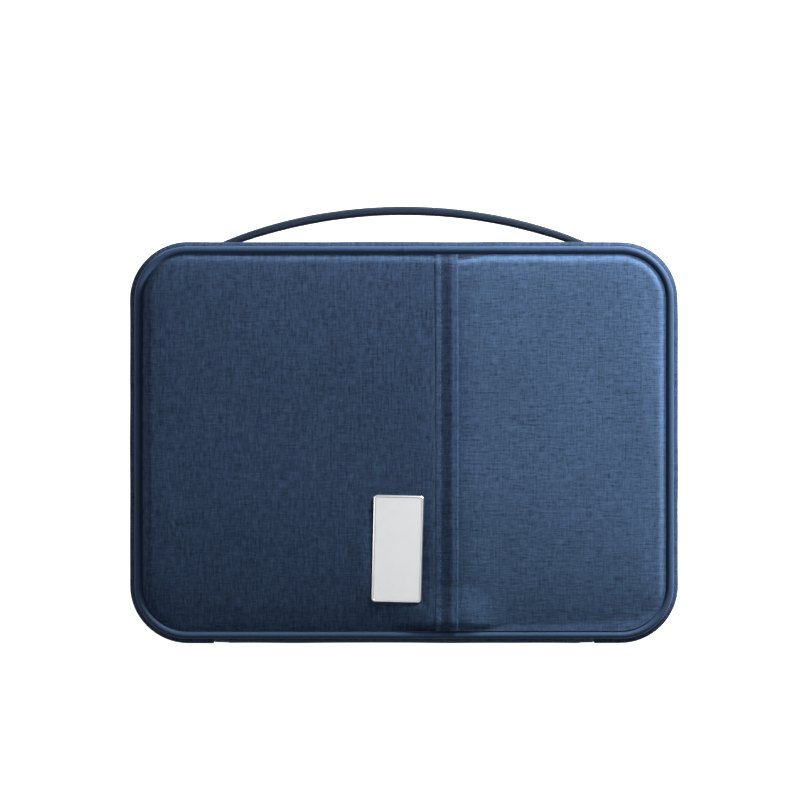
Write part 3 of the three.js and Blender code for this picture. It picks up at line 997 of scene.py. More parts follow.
def back_pad(name, node, lo, hi, radius):
    """The back cover: flat where it lies on the table, with rolled edges."""
    obj = pad_block(name, lo, hi, radius, radius, 96, 84)
    co = points_of(obj)
    share = (hi[2] - co[:, 2]) / (hi[2] - lo[2])
    swell = air_swell(obj, 1.2 * MM, -1)
    inside = np.maximum(edge_distance(co, lo, hi, radius, radius), 0)
    outer = np.stack([co[:, 0], co[:, 1], np.full(len(co), lo[2])], axis=1)
    lift = 3.4 * MM * fade(inside, 11 * MM, 2.4) + 0.5 * MM * fade(inside, 45 * MM)
    lift += 0.16 * MM * (1 + ripples(co[:, 0], co[:, 1], 24, 6.2)) * np.clip(inside / (10 * MM), 0, 1)
    blown = 0.3 * np.minimum(swell_at(swell, outer), 0)
    lift -= blown * np.clip(inside / (14 * MM), 0, 1) * fade(inside, 60 * MM)
    co[:, 2] = np.maximum(lo[2] + np.clip(lift, 0, None) * share + (hi[2] - lo[2]) * (1 - share), 0)
    move_points(obj, co)
    lay_map(obj)
    smooth(obj, math.radians(60))
    finish_piece(obj, name, "back_cover", oxford(), "navy_oxford", node)
    return obj


def cover_radius():
    return sizes().corner_radius - PANEL_IN


class ORGANIZER_OT_covers(bpy.types.Operator):
    """Build the padded front and back covers"""

    bl_idname = "organizer.covers"
    bl_label = "Padded covers"

    def execute(self, context):
        r = cover_radius()
        tight = 0.8 * MM
        lo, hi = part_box("front_panel_left")
        front_pad("cover_front_left", "front_panel_left", lo, hi, (r, 2.4 * MM), 1, 1.0)
        lo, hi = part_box("front_pocket_panel")
        wide_lo = Vector((FLAP_X1 - 5 * MM, lo.y, lo.z + 1.6 * MM))
        # The right cover takes the cloth 1.8 times paler: painted light for the brighter light on that side.
        front_pad("cover_front_right", "front_pocket_panel", wide_lo, hi, (tight, r), -1, 1.8)
        lo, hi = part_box("back_panel")
        back_pad("cover_back", "back_panel", lo, hi, r)
        return {"FINISHED"}


# ---- the placket, the plate ----


class ORGANIZER_OT_placket(bpy.types.Operator):
    """Build the folded strip that covers the front pocket's mouth, and its stitching"""

    bl_idname = "organizer.placket"
    bl_label = "Placket"

    def execute(self, context):
        lo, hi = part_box("pocket_placket")
        left = lo.x - 2.2 * MM
        fold, fold_r = hi.x - 0.95 * MM, 0.9 * MM
        ridge = [(0.0, 0.06), (0.3, 0.18), (0.9, 0.30), (1.5, 0.28), (2.1, 0.16), (2.8, 0.0), (3.6, -0.2)]
        swell = [(4.4, -0.24), (5.4, -0.12), (6.6, 0.1), (8.2, 0.48), (9.8, 0.86), (11.0, 0.94), (12.3, 0.66)]
        profile = [(left + x * MM, z * MM) for x, z in ridge + swell]
        turns = np.linspace(QUARTER, -QUARTER, 9)
        profile += [(fold + fold_r * math.cos(a), fold_r * (math.sin(a) - 0.5)) for a in turns]
        under = [(9.5, -1.25), (6.5, -1.1), (3.0, -1.25), (2.0, -1.1), (1.75, 0.02)]
        profile += [(left + x * MM, z * MM) for x, z in under]
        around = 64
        even, girth = resampled(profile + [profile[0]], around)
        half = (hi.y - lo.y) / 2 + 0.5 * MM
        level = self.levels(half)
        pitch = sizes().stitch_pitch

        def place(u, v):
            y = -half + 2 * half * u
            x, z = even[round(v * around)]
            across = min(max((x - left) / (hi.x - left), 0), 1)
            wave = 0.34 * MM * noise.noise(Vector((y * 38, across * 0.8, 0))) * across
            sway = 0.30 * MM * noise.noise(Vector((y * 16, 4.0, 0))) * across
            pull = -0.16 * MM * math.cos(2 * math.pi * y / pitch) * math.exp(-(((across - 0.26) / 0.09) ** 2))
            return x + wave * 0.6 + sway, y, level(y) + z + wave + pull

        obj = sheet_grid("placket_strip", 150, around, place, (2 * half, girth))
        close_seams(obj)
        smooth(obj, math.radians(60))
        finish_piece(obj, "placket_strip", None, oxford(), "navy_oxford", "pocket_placket")
        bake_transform(obj)
        rows = np.linspace(-half + 2 * MM, half - 2 * MM, 90)
        line = [(left + 3.5 * MM, y, level(y) - 0.34 * MM) for y in rows]
        stitch_row("placket_stitches", "front_cover", line, (0, 0, 1))
        return {"FINISHED"}

    def levels(self, half):
        """Height of the cover under the strip, along its length."""
        rows = np.linspace(-half, half, 120)
        heights = front_surface(np.full(len(rows), (FLAP_X0 + FLAP_X1) / 2), rows)
        heights = np.maximum(heights, MOUTH_HI.z + 1.45 * MM)
        return lambda y: float(np.interp(y, rows, heights))


class ORGANIZER_OT_plate(bpy.types.Operator):
    """Build the blank metal plate with its bevelled rim"""

    bl_idname = "organizer.plate"
    bl_label = "Metal plate"

    def execute(self, context):
        turn = math.radians(-1.4)
        width, height = 30.7 * MM, 66.3 * MM
        thick = 1.0 * MM
        centre, lean = plate_plane()
        corner = 2 * MM
        low, high = (-width / 2, -height / 2, 0), (width / 2, height / 2, thick)
        obj = corner_block("plate", low, high, corner, corner, 6)
        self.shape_rim(obj, thick)
        leaned = Matrix.Translation(centre) @ Matrix.Rotation(lean, 4, "X")
        obj.matrix_world = leaned @ Matrix.Rotation(turn, 4, "Z")
        settle(obj)
        lay_map(obj)
        smooth(obj, math.radians(25))
        finish_piece(obj, "plate", "front_cover", plate_metal(), "satin_steel", "metal_plate")
        return {"FINISHED"}

    def shape_rim(self, obj, thick):
        """A bevelled edge, a raised border and a field that lies a hair lower."""
        edit_all(obj)
        bpy.ops.mesh.select_mode(type="FACE")
        bpy.ops.mesh.select_all(action="DESELECT")
        leave_edit()
        for face in obj.data.polygons:
            face.select = face.normal.z > 0.9
        bpy.ops.object.mode_set(mode="EDIT")
        steps = [(0.45, 0.0), (0.55, 0.0), (0.3, -0.16), (0.12, 0.0)]
        for inset, drop in steps:
            bpy.ops.mesh.inset(thickness=inset * MM, depth=drop * MM)
        leave_edit()
        co = points_of(obj)
        half_x, half_y, corner = 15.35 * MM, 33.15 * MM, 2 * MM
        from_edge = edge_distance(co, (-half_x, -half_y, 0), (half_x, half_y, 0), corner, corner)
        outer = (np.abs(co[:, 2] - thick) < 1e-6) & (from_edge < 0.02 * MM)
        co[outer, 2] -= 0.4 * MM
        move_points(obj, co)


# ---- piped edges and walls ----


class ORGANIZER_OT_piping(bpy.types.Operator):
    """Build the cloth-wrapped cords sewn round both covers"""

    bl_idname = "organizer.piping"
    bl_label = "Piped edges"

    def execute(self, context):
        self.bead("piping_front_edge", "front_piping", "front_cover", FRONT_SEAM_Z)
        self.bead("piping_back_edge", "back_piping", "back_cover", BACK_SEAM_Z)
        return {"FINISHED"}

    def bead(self, name, node, body, seam_z):
        stations = rim(0.0, spacing=3.0 * MM)
        profile = ring((CORD_IN, seam_z), CORD_R, 20)
        total = stations[-1][4]

        def wander(run, waves):
            turn = 2 * math.pi * run / total
            reach = total * waves / (2 * math.pi)
            return noise.noise(Vector((reach * math.cos(turn), reach * math.sin(turn), seam_z * 90)))

        def uneven(run, v):
            swell_here = 0.12 * MM * wander(run, 40) + 0.05 * MM * wander(run, 200)
            angle = 2 * math.pi * v
            return -swell_here * math.cos(angle), swell_here * math.sin(angle)

        obj = swept(name, stations, profile, uneven)
        close_seams(obj)
        smooth(obj, math.radians(80))
        finish_piece(obj, name, body, piping_cloth(), "piping_cloth", node)
        self.flange(name, body, seam_z)
        self.joint(name, body, seam_z)

    def flange(self, name, body, seam_z):
        """The flat tail of the piping cloth, sewn in between the cover and the wall."""
        tail = [(BEAD_IN + 1.6 * MM, seam_z + 0.5 * MM), (PANEL_IN + 2.5 * MM, seam_z + 0.5 * MM),
                (PANEL_IN + 2.5 * MM, seam_z - 0.5 * MM), (BEAD_IN + 1.6 * MM, seam_z - 0.5 * MM),
                (BEAD_IN + 1.6 * MM, seam_z + 0.5 * MM)]
        obj = swept(name + "_tail", rim(0.0, spacing=6 * MM), tail)
        close_seams(obj)
        finish_piece(obj, name + "_tail", body, piping_cloth(), "piping_cloth")

    def joint(self, name, body, seam_z):
        """A small sleeve of cloth where the two ends of the cord meet, at the middle of the top."""
        deselect()
        place = (0.0, HALF_H - CORD_IN, seam_z)
        bpy.ops.mesh.primitive_cylinder_add(vertices=24, radius=CORD_R + 0.09 * MM, depth=3.4 * MM,
                                            location=place, rotation=(0, QUARTER, 0))
        obj = bpy.context.object
        settle(obj)
        apply_modifier(obj, "BEVEL", width=0.08 * MM, segments=2, limit_method="ANGLE")
        lay_map(obj)
        smooth(obj)
        finish_piece(obj, name + "_joint", body, piping_cloth(), "piping_cloth")


def wall_profile(seam_z, zip_edge_z, reach):
    """A padded wall from the bead's middle, swelling out and curling in to the zip, and back inside."""
    side = 1 if zip_edge_z > seam_z else -1
    span = abs(zip_edge_z - seam_z)
    bulge = -sizes().wall_bulge
    start, behind = CORD_IN - 1.3 * MM, 2.0 * MM
    outside = []
    for i in range(13):
        t = i / 12
        swell_out = math.sin(min(1.0, t * 1.35) * QUARTER) ** 0.7
        curl = max(0.0, (t - 0.62) / 0.38) ** 2.2
        inset = start - (start - bulge) * swell_out + (COIL_IN - bulge) * curl
        outside.append((inset, seam_z + side * (behind + t * (span - behind))))
    inner = TAPE_IN + reach
    lip = outside[-1]
    inside = [
        ((lip[0] + inner) / 2, zip_edge_z + side * 0.25 * MM),
        (inner, zip_edge_z - side * 0.6 * MM),
        (inner + 0.2 * MM, zip_edge_z - side * span * 0.4),
        (inner + 0.9 * MM, seam_z + side * 3.0 * MM),
        (PANEL_IN + 1.0 * MM, seam_z + side * 1.9 * MM),
        (PANEL_IN + 1.0 * MM, seam_z + side * 0.6 * MM),
    ]
    return resampled(outside + inside + [outside[0]], 44)[0]


class ORGANIZER_OT_walls(bpy.types.Operator):
    """Build the padded side walls on both sides of the zip, and their top stitching"""

    bl_idname = "organizer.walls"
    bl_label = "Side walls"

    def execute(self, context):
        back_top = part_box("back_gusset")[1].z
        front_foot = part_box("front_gusset")[0].z
        self.wall("wall_back", "back_gusset", "back_cover", BACK_SEAM_Z, back_top)
        self.wall("wall_front", "front_gusset", "front_cover", FRONT_SEAM_Z, front_foot)
        return {"FINISHED"}

    def wall(self, name, node, body, seam_z, zip_edge_z):
        stations = rim(0.0, closed=False, spacing=3.2 * MM, start_end=WALL_END)
        profile = wall_profile(seam_z, zip_edge_z, 0.6 * MM)
        seed = 5.0 if seam_z < zip_edge_z else 9.0

        def uneven(run, v):
            swell_here = 0.22 * MM * noise.noise(Vector((run * 38, seed, v)))
            return swell_here * math.sin(math.pi * min(1, v * 2.2)) if v < 0.45 else 0.0, 0.0

        obj = swept(name, stations, profile, uneven)
        close_seams(obj)
        smooth(obj, math.radians(60))
        finish_piece(obj, name, body, oxford(), "navy_oxford", node)
        side = 1 if zip_edge_z > seam_z else -1
        line_z = zip_edge_z - side * 0.9 * MM
        line = [(x - nx * 2.05 * MM, y - ny * 2.05 * MM, line_z) for x, y, nx, ny, _ in stations]
        runs = [s[4] for s in stations]
        normals = np.array([(s[2], s[3]) for s in stations])

        def up(s):
            nx, ny = (float(np.interp(s, runs, normals[:, k])) for k in range(2))
            return nx, ny, side * 0.6

        stitch_row(name + "_stitches", body, line, up)


class ORGANIZER_OT_spine(bpy.types.Operator):
    """Build the folding spine between the two covers"""

    bl_idname = "organizer.spine"
    bl_label = "Spine"

    def execute(self, context):
        half = WALL_END - 0.3 * MM
        bulge = -sizes().wall_bulge - 0.25 * MM
        start = BEAD_IN - 1.2 * MM
        low, high = BACK_SEAM_Z + 1.0 * MM, FRONT_SEAM_Z - 1.0 * MM
        outer = []
        for i in range(15):
            t = i / 14
            outer.append((start + (bulge - start) * math.sin(math.pi * t) ** 0.55, low + (high - low) * t))
        inner = [
            (BEAD_IN + 1.2 * MM, high),
            (BEAD_IN + 0.2 * MM, high - 4 * MM),
            (BEAD_IN - 0.6 * MM, (low + high) / 2),
            (BEAD_IN + 0.2 * MM, low + 4 * MM),
            (BEAD_IN + 1.2 * MM, low),
            outer[0],
        ]
        columns, rows = 76, 44
        profile, girth = resampled(outer + inner, rows)

        def place(u, v):
            x = -half + 2 * half * u
            inset, z = profile[round(v * rows)]
            ripple = crease = dimple = 0.0
            if v < 0.5:
                end = min(max((abs(x) - half + 10 * MM) / (10 * MM), 0), 1)
                ripple = 0.3 * MM * noise.noise(Vector((x * 30, z * 60, 2.0)))
                crease = 0.3 * MM * math.exp(-((z - (low + high) / 2) / (1.6 * MM)) ** 2)
                dimple = 3.0 * MM * end**2 * (3 - 2 * end) * math.exp(-(((z - ZIP_Z) / (4.5 * MM)) ** 2))
            return x, -HALF_H + inset + ripple + crease + dimple, z

        obj = sheet_grid("spine_cloth", columns, rows, place, (2 * half, girth))
        close_seams(obj)
        smooth(obj, math.radians(60))
        finish_piece(obj, "spine_cloth", "spine", oxford(), "navy_oxford", "spine_strip")
        return {"FINISHED"}


# ---- zips ----


class ORGANIZER_OT_main_zip(bpy.types.Operator):
    """Build the main zip's tapes, coils and stops"""

    bl_idname = "organizer.main_zip"
    bl_label = "Main zip"

    def execute(self, context):
        self.row("back", "back_cover", -1, 0.0)
        self.row("front", "front_cover", 1, 0.5)
        for side in ("left", "right"):
            lo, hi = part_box(f"zipper_stop_{side}")
            name = f"zip_stop_{side}"
            obj = rounded_block(name, lo, hi, 0.4 * MM)
            lay_map(obj)
            finish_piece(obj, name, "back_cover", dark_metal(), "zip_metal", f"zipper_stop_{side}")
        return {"FINISHED"}

    def row(self, which, body, side, shift):
        lo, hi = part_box(f"zipper_tape_{which}")
        tape_t = 0.5 * MM
        inner = TAPE_IN + tape_t
        profile = [(TAPE_IN, lo.z), (TAPE_IN, hi.z), (inner, hi.z), (inner, lo.z), (TAPE_IN, lo.z)]
        even, _ = resampled(profile, 24)
        stations = rim(0.0, closed=False, spacing=4 * MM, start_end=WALL_END)
        tape = swept(f"zip_tape_{which}", stations, even)
        close_seams(tape)
        finish_piece(tape, f"zip_tape_{which}", body, tape_cloth(), "zip_tape", f"zipper_tape_{which}")
        lo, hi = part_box(f"zipper_coil_{which}")
        pitch = sizes().tooth_pitch
        reach = hi.z - lo.z + 0.5 * MM
        centre_z = (lo.z + hi.z) / 2 - side * 0.25 * MM
        runs = np.array([s[4] for s in stations])
        data = np.array([s[:4] for s in stations])
        places = []
        depth = COIL_IN + 0.75 * MM
        for s in np.arange(pitch * (0.5 + shift), runs[-1], pitch):
            x, y, nx, ny = (float(np.interp(s, runs, data[:, k])) for k in range(4))
            up = Vector((nx, ny, 0)).normalized()
            across = Vector((0.0, 0.0, 1.0)) + Vector((-up.y, up.x, 0.0)) * 0.16 * side
            places.append(facing((x - up.x * depth, y - up.y * depth, centre_z), across, up))
        model = bead_model(reach, pitch * 0.62, 1.35 * MM, 8, 6)
        coil = copies(f"zip_coil_{which}", model, places)
        lay_map(coil)
        finish_piece(coil, f"zip_coil_{which}", body, coil_plastic(), "zip_coil", f"zipper_coil_{which}")


class ORGANIZER_OT_sliders(bpy.types.Operator):
    """Build the main zip's two sliders and their pullers"""

    bl_idname = "organizer.sliders"
    bl_label = "Sliders and pullers"

    def execute(self, context):
        for name, side in (("left", -1), ("right", 1)):
            self.slider(name, side)
            self.puller(name, side)
        return {"FINISHED"}

    def slider(self, name, side):
        lo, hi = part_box(f"zipper_slider_{name}")
        y_outer, y_inner = HALF_H - 2.0 * MM, lo.y
        outer = rounded_block("outer", (lo.x, y_outer - 0.9 * MM, lo.z), (hi.x, y_outer, hi.z), 0.35 * MM)
        inner = rounded_block("inner", (lo.x, y_inner, lo.z), (hi.x, y_inner + 0.8 * MM, hi.z), 0.3 * MM)
        for plate in (outer, inner):
            co = points_of(plate)
            nose = np.clip((side * (co[:, 0] - (lo.x + hi.x) / 2)) / (hi.x - lo.x) * -2, 0, 1)
            co[:, 2] = ZIP_Z + (co[:, 2] - ZIP_Z) * (1 - 0.28 * nose**1.5)
            move_points(plate, co)
        middle_x = (lo.x + hi.x) / 2
        neck = rounded_block("neck", (middle_x - 1.5 * MM, y_inner + 0.4 * MM, ZIP_Z - 0.3 * MM),
                             (middle_x + 1.5 * MM, y_outer - 0.4 * MM, ZIP_Z + 0.3 * MM), 0.12 * MM)
        deselect()
        bpy.ops.mesh.primitive_torus_add(major_radius=2.0 * MM, minor_radius=0.45 * MM, major_segments=28,
                                         minor_segments=10, rotation=(0, 0, 0))
        bail = bpy.context.object
        co = points_of(bail)
        pivot = side * 4.6 * MM
        co[:, 0] = co[:, 0] * 1.15 + pivot + side * 1.2 * MM
        co[:, 1] = co[:, 1] * 0.75 + y_outer + 0.4 * MM
        co[:, 2] = co[:, 2] + ZIP_Z
        move_points(bail, co)
        deselect()
        for piece in (outer, inner, neck, bail):
            piece.select_set(True)
        bpy.context.view_layer.objects.active = outer
        bpy.ops.object.join()
        obj = bpy.context.object
        zip_metal(obj, f"slider_{name}", f"slider_{name}", f"zipper_slider_{name}")

    def puller(self, name, side):
        lo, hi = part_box(f"zipper_pull_{name}")
        y = (lo.y + hi.y) / 2
        t = 0.42 * MM
        root, tip = (lo.x, hi.x) if side > 0 else (hi.x, lo.x)
        outline = corner_block("pull", (lo.x, lo.z, -t), (hi.x, hi.z, t), 1.4 * MM, 1.4 * MM, 5)
        self.cut_hole(outline, root + side * 1.4 * MM, root + side * 3.6 * MM)
        apply_modifier(outline, "BEVEL", width=0.16 * MM, segments=2, limit_method="ANGLE")
        co = points_of(outline)
        waist = 1 - 0.22 * np.exp(-(((co[:, 0] - (root + tip) / 2) / (5.5 * MM)) ** 2))
        flat = np.stack([co[:, 0], y + co[:, 2], ZIP_Z + (co[:, 1] - ZIP_Z) * waist], axis=1)
        move_points(outline, flat)
        edit_all(outline)
        bpy.ops.mesh.normals_make_consistent(inside=False)
        leave_edit()
        zip_metal(outline, f"puller_{name}", f"pull_{name}", f"zipper_pull_{name}")

    def cut_hole(self, obj, x0, x1):
        """An oblong hole near the root, where the bail runs through."""
        deselect()
        place = ((x0 + x1) / 2, ZIP_Z, 0)
        bpy.ops.mesh.primitive_cylinder_add(vertices=20, radius=1.1 * MM, depth=4 * MM, location=place)
        cutter = bpy.context.object
        cutter.scale.x = 1.25
        settle(cutter)
        apply_modifier(obj, "BOOLEAN", object=cutter, operation="DIFFERENCE", solver="EXACT")
        bpy.data.objects.remove(cutter)


# ---- the carry handle ----


def signed_power(value, power):
    """The value's size raised to a power, with the value's own sign."""
    return math.copysign(abs(value) ** power, value)


class ORGANIZER_OT_handle(bpy.types.Operator):
    """Build the arched carry strap, with low lengthwise ridges on its faces"""

    bl_idname = "organizer.handle"
    bl_label = "Carry handle"

    def execute(self, context):
        lo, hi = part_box("handle_strap")
        thick, rise = 5.3 * MM, hi.y - 2.0 * MM - HALF_H
        foot = 109.0 * MM
        radius = (foot**2 + rise**2) / (2 * rise)
        centre_y = HALF_H + rise - radius
        z_mid, half_w = (lo.z + hi.z) / 2, (hi.z - lo.z) / 2
        spread = math.asin(foot / radius) * 1.05
        columns, rows = 96, 28
        section = []
        for i in range(rows + 1):
            a = 2 * math.pi * i / rows
            off, across = signed_power(math.sin(a), 0.55), signed_power(math.cos(a), 0.35)
            section.append((thick / 2 * off, half_w * across))

        def place(u, v):
            angle = QUARTER + spread * (1 - 2 * u)
            off, across = section[round(v * rows) % rows]
            end = abs(1 - 2 * u) ** 6
            squeeze = 1 - 0.32 * end
            edge_ridge = 0.10 * MM * math.cos(across / half_w * math.pi * 2.5)
            rough = 0.08 * MM * noise.noise(Vector((u * 60, across * 300, off * 300)))
            ridge = edge_ridge if abs(off) > 1 * MM else 0.0
            r = radius + off * squeeze + ridge * math.copysign(1, off) + rough
            return r * math.cos(angle), centre_y + r * math.sin(angle), z_mid + across * (1 - 0.06 * end)

        obj = sheet_grid("carry_strap", columns, rows, place, (2 * spread * radius, 33 * MM))
        close_seams(obj)
        smooth(obj, math.radians(60))
        finish_piece(obj, "carry_strap", None, strap_cloth(), "webbing", "handle_strap")
        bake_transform(obj)
        return {"FINISHED"}


# ---- what is inside ----


def flat_cloth(name, node, body, material, slot, outward, radius=10 * MM):
    """A thin sewn cloth with rounded corners whose outer face ripples a little between its seams."""
    lo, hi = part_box(node)
    columns, rows = (max(3, min(64, round(length / (3.5 * MM)))) for length in (hi.x - lo.x, hi.y - lo.y))
    obj = pad_block(name, lo, hi, radius, radius, columns, rows, 1)
    co = points_of(obj)
    inside = np.maximum(edge_distance(co, lo, hi, radius, radius), 0)
    deepest = min(0.3 * MM, 0.45 * (hi.z - lo.z))
    dip = deepest * np.clip(0.45 + 1.1 * ripples(co[:, 0], co[:, 1], 26, 1000 * lo.z), 0, 1)
    dip *= np.clip(inside / (9 * MM), 0, 1)
    outer = (co[:, 2] - (lo.z + hi.z) / 2) * outward > 0.4 * (hi.z - lo.z)
    co[outer, 2] -= outward * dip[outer]
    move_points(obj, co)
    lay_map(obj)
    smooth(obj, math.radians(50))
    finish_piece(obj, name, body, material, slot, node)
    return obj


def binding(name, body, a, b, width, thick, material, slot, sign=1):
    """A folded binding tape along a straight edge from a to b, with its stitches."""
    a, b = Vector(a), Vector(b)
    along_x = abs(a.x - b.x) > abs(a.y - b.y)
    spread = Vector((0, width / 2, thick / 2)) if along_x else Vector((width / 2, 0, thick / 2))
    lo = Vector(map(min, a, b)) - spread
    hi = Vector(map(max, a, b)) + spread
    obj = rounded_block(name, lo, hi, thick * 0.45)
    lay_map(obj)
    finish_piece(obj, name, body, material, slot)
    z = (hi.z + 0.02 * MM) if sign > 0 else (lo.z - 0.02 * MM)
    shift = Vector((0, -width * 0.2, 0)) if along_x else Vector((-width * 0.2, 0, 0))
    line = [Vector((a.x, a.y, z)) + shift, Vector((b.x, b.y, z)) + shift]
    stitch_row(name + "_stitches", body, line, (0, 0, sign))
    return obj


class ORGANIZER_OT_linings(bpy.types.Operator):
    """Build the inner cloths and dress the boards and foam in the covers"""

    bl_idname = "organizer.linings"
    bl_label = "Linings"

    def execute(self, context):
        r = cover_radius()
        for name, node, body, sign in (("lining_back", "back_lining", "back_cover", 1),
                                       ("lining_front", "front_lining", "front_cover", -1)):
            flat_cloth(name, node, body, lining_cloth(), "lining", sign, radius=r)
            self.binding_round(name + "_binding", node, body, sign)
        dress("pocket_lining", pocket_cloth())
        for node in ("back_stiffener", "front_stiffener"):
            dress(node, board_stuff())
        dress("front_padding", foam_stuff())
        for node in ("handle_end_left", "handle_end_right"):
            dress(node, strap_cloth())
        return {"FINISHED"}

    def binding_round(self, name, node, body, sign):
        lo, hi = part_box(node)
        z = hi.z if sign > 0 else lo.z
        inset = PANEL_IN - 0.6 * MM
        profile = ring((inset, z - sign * 0.1 * MM), 1.5 * MM, 12, 0.6)
        obj = swept(name, rim(0.0, spacing=6 * MM), profile)
        close_seams(obj)
        smooth(obj, math.radians(80))
        finish_piece(obj, name, body, strap_cloth(), "webbing")


def dress(node, material):
    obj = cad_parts[node]
    obj.data.materials.clear()
    obj.data.materials.append(material)
    if obj.data.uv_layers.get("cloth") is None:
        lay_map(obj)


def mouth_binding(name, node, body, gap):
    """The bound edge along a pocket's open side, a gap short of both corners."""
    lo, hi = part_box(node)
    y = hi.y - 1.6 * MM
    start, end = (lo.x + gap, y, hi.z), (hi.x - gap, y, hi.z)
    binding(name, body, start, end, 4.2 * MM, 0.7 * MM, strap_cloth(), "webbing")


class ORGANIZER_OT_back_pockets(bpy.types.Operator):
    """Build the pockets, card slots and pen loops on the back half"""

    bl_idname = "organizer.back_pockets"
    bl_label = "Back pockets"

    def execute(self, context):
        body = "back_cover"
        cloth = pocket_cloth()
        nodes = [("paper_pocket", "document_pocket", 12), ("passport_sleeve", "passport_pocket", 6)]
        nodes += [(f"card_row_{i}", f"card_slot_{i}", 4) for i in range(1, 5)]
        for name, node, corner in nodes:
            radius = corner * MM
            flat_cloth(name, node, body, cloth, "pocket_cloth", 1, radius=radius)
            mouth_binding(name + "_mouth", node, body, radius * 0.3)
        for i in (1, 2):
            self.pen_loop(i)
        return {"FINISHED"}

    def pen_loop(self, index):
        node = f"pen_loop_{index}"
        lo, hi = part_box(node)
        skin = 0.8 * MM
        cx, half = (lo.x + hi.x) / 2, (hi.x - lo.x) / 2
        top = hi.z - lo.z
        turns = np.linspace(0.2, math.pi - 0.2, 11)
        arch = [(-half, 0.0), (-half, top * 0.5)]
        arch += [(-half * math.cos(a), top * 0.5 + top * 0.5 * math.sin(a)) for a in turns]
        arch += [(half, top * 0.5), (half, 0.0)]
        shrink = []
        for x, z in arch:
            less_x = (abs(x) - skin) * math.copysign(1, x) if abs(x) > 1e-9 else 0.0
            shrink.append((less_x, min(z, top - skin) if z > 0 else skin))
        around = 40
        loop, girth = resampled(arch + [arch[0]], around)
        inner, _ = resampled(shrink + [shrink[0]], around)

        def place(u, v):
            y = lo.y + (hi.y - lo.y) * min(max((u - 0.06) / 0.88, 0), 1)
            x, z = (inner if u < 0.03 or u > 0.97 else loop)[round(v * around)]
            return cx + x, y, lo.z + z + 0.04 * MM * math.sin(u * 60)

        outer = sheet_grid(f"elastic_loop_{index}", 16, around, place, (hi.y - lo.y, girth))
        edit_all(outer)
        bpy.ops.mesh.remove_doubles(threshold=1e-6)
        leave_edit()
        apply_modifier(outer, "SOLIDIFY", thickness=0.45 * MM, offset=-1)
        smooth(outer, math.radians(50))
        finish_piece(outer, f"elastic_loop_{index}", "back_cover", strap_cloth(), "webbing", node)


def straight_zip(prefix, body, tape_nodes, coil_node, slider_node, pull_node, slider_body, along_y, sign):
    """A short zip on flat cloth: tape, coil loops, slider and puller, facing up or down."""
    for node in tape_nodes:
        name = f"{prefix}_{node.split('_')[-1]}_tape"
        flat_cloth(name, node, body, tape_cloth(), "zip_tape", sign, radius=0.5 * MM)
    lo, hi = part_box(coil_node)
    centre = (lo + hi) / 2
    pitch = sizes().tooth_pitch
    length = (hi.y - lo.y) if along_y else (hi.x - lo.x)
    depth = min(hi.z - lo.z + 0.3 * MM, 1.1 * MM)
    places = []
    for i, s in enumerate(np.arange(-length / 2 + pitch / 2, length / 2, pitch / 2)):
        side = 1 if i % 2 else -1
        if along_y:
            place, across = (centre.x + side * 0.75 * MM, centre.y + s, centre.z), (1, 0.15 * side, 0)
        else:
            place, across = (centre.x + s, centre.y + side * 0.75 * MM, centre.z), (0.15 * side, 1, 0)
        places.append(facing(place, across, (0, 0, sign)))
    model = bead_model(2.3 * MM, pitch * 0.42, depth, 6, 5)
    coil = copies(f"{prefix}_coil", model, places)
    lay_map(coil)
    finish_piece(coil, f"{prefix}_coil", body, coil_plastic(), "zip_coil", coil_node)
    for node, name in ((slider_node, f"{prefix}_slider"), (pull_node, f"{prefix}_puller")):
        lo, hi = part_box(node)
        obj = corner_block(name, lo, hi, 1.2 * MM, 1.2 * MM, 5)
        apply_modifier(obj, "BEVEL", width=0.15 * MM, segments=2, limit_method="ANGLE")
        co = points_of(obj)
        if name.endswith("slider"):
            mid = (lo + hi) / 2
            axis = 1 if along_y else 0
            t = (co[:, axis] - mid[axis]) / (hi[axis] - lo[axis])
            other = 1 - axis
            slimmer = 0.25 * np.clip(t * (1 if along_y else -1), 0, 1) * 2
            co[:, other] = mid[other] + (co[:, other] - mid[other]) * (1 - slimmer)
            move_points(obj, co)
        zip_metal(obj, name, slider_body, node)


class ORGANIZER_OT_front_pocket(bpy.types.Operator):
    """Build the front pocket's zip, hidden by the placket"""

    bl_idname = "organizer.front_pocket"
    bl_label = "Front pocket zip"

    def execute(self, context):
        tapes = ["pocket_zip_tape_left", "pocket_zip_tape_right"]
        straight_zip("pocket_zip", "front_cover", tapes, "pocket_zip_coil", "pocket_zip_slider",
                     "pocket_zip_pull", "pocket_slider", along_y=True, sign=1)
        return {"FINISHED"}


class ORGANIZER_OT_mesh_pocket(bpy.types.Operator):
    """Build the net pocket inside the front cover, with its zip"""

    bl_idname = "organizer.mesh_pocket"
    bl_label = "Net pocket"

    def execute(self, context):
        flat_cloth("net_panel", "mesh_pocket", "front_cover", netting(), "mesh", -1, radius=12 * MM)
        straight_zip("net_zip", "front_cover", ["mesh_zip_tape"], "mesh_zip_coil", "mesh_zip_slider",
                     "mesh_zip_pull", "mesh_slider", along_y=False, sign=-1)
        lo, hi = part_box("mesh_pocket")
        z = lo.z - 0.1 * MM
        edges = [((lo.x, lo.y + 8 * MM, z), (lo.x, hi.y, z)), ((hi.x, lo.y + 8 * MM, z), (hi.x, hi.y, z)),
                 ((lo.x + 8 * MM, lo.y, z), (hi.x - 8 * MM, lo.y, z))]
        for i, (a, b) in enumerate(edges):
            name = f"net_binding_{i + 1}"
            binding(name, "front_cover", a, b, 5 * MM, 0.8 * MM, strap_cloth(), "webbing", -1)
        return {"FINISHED"}


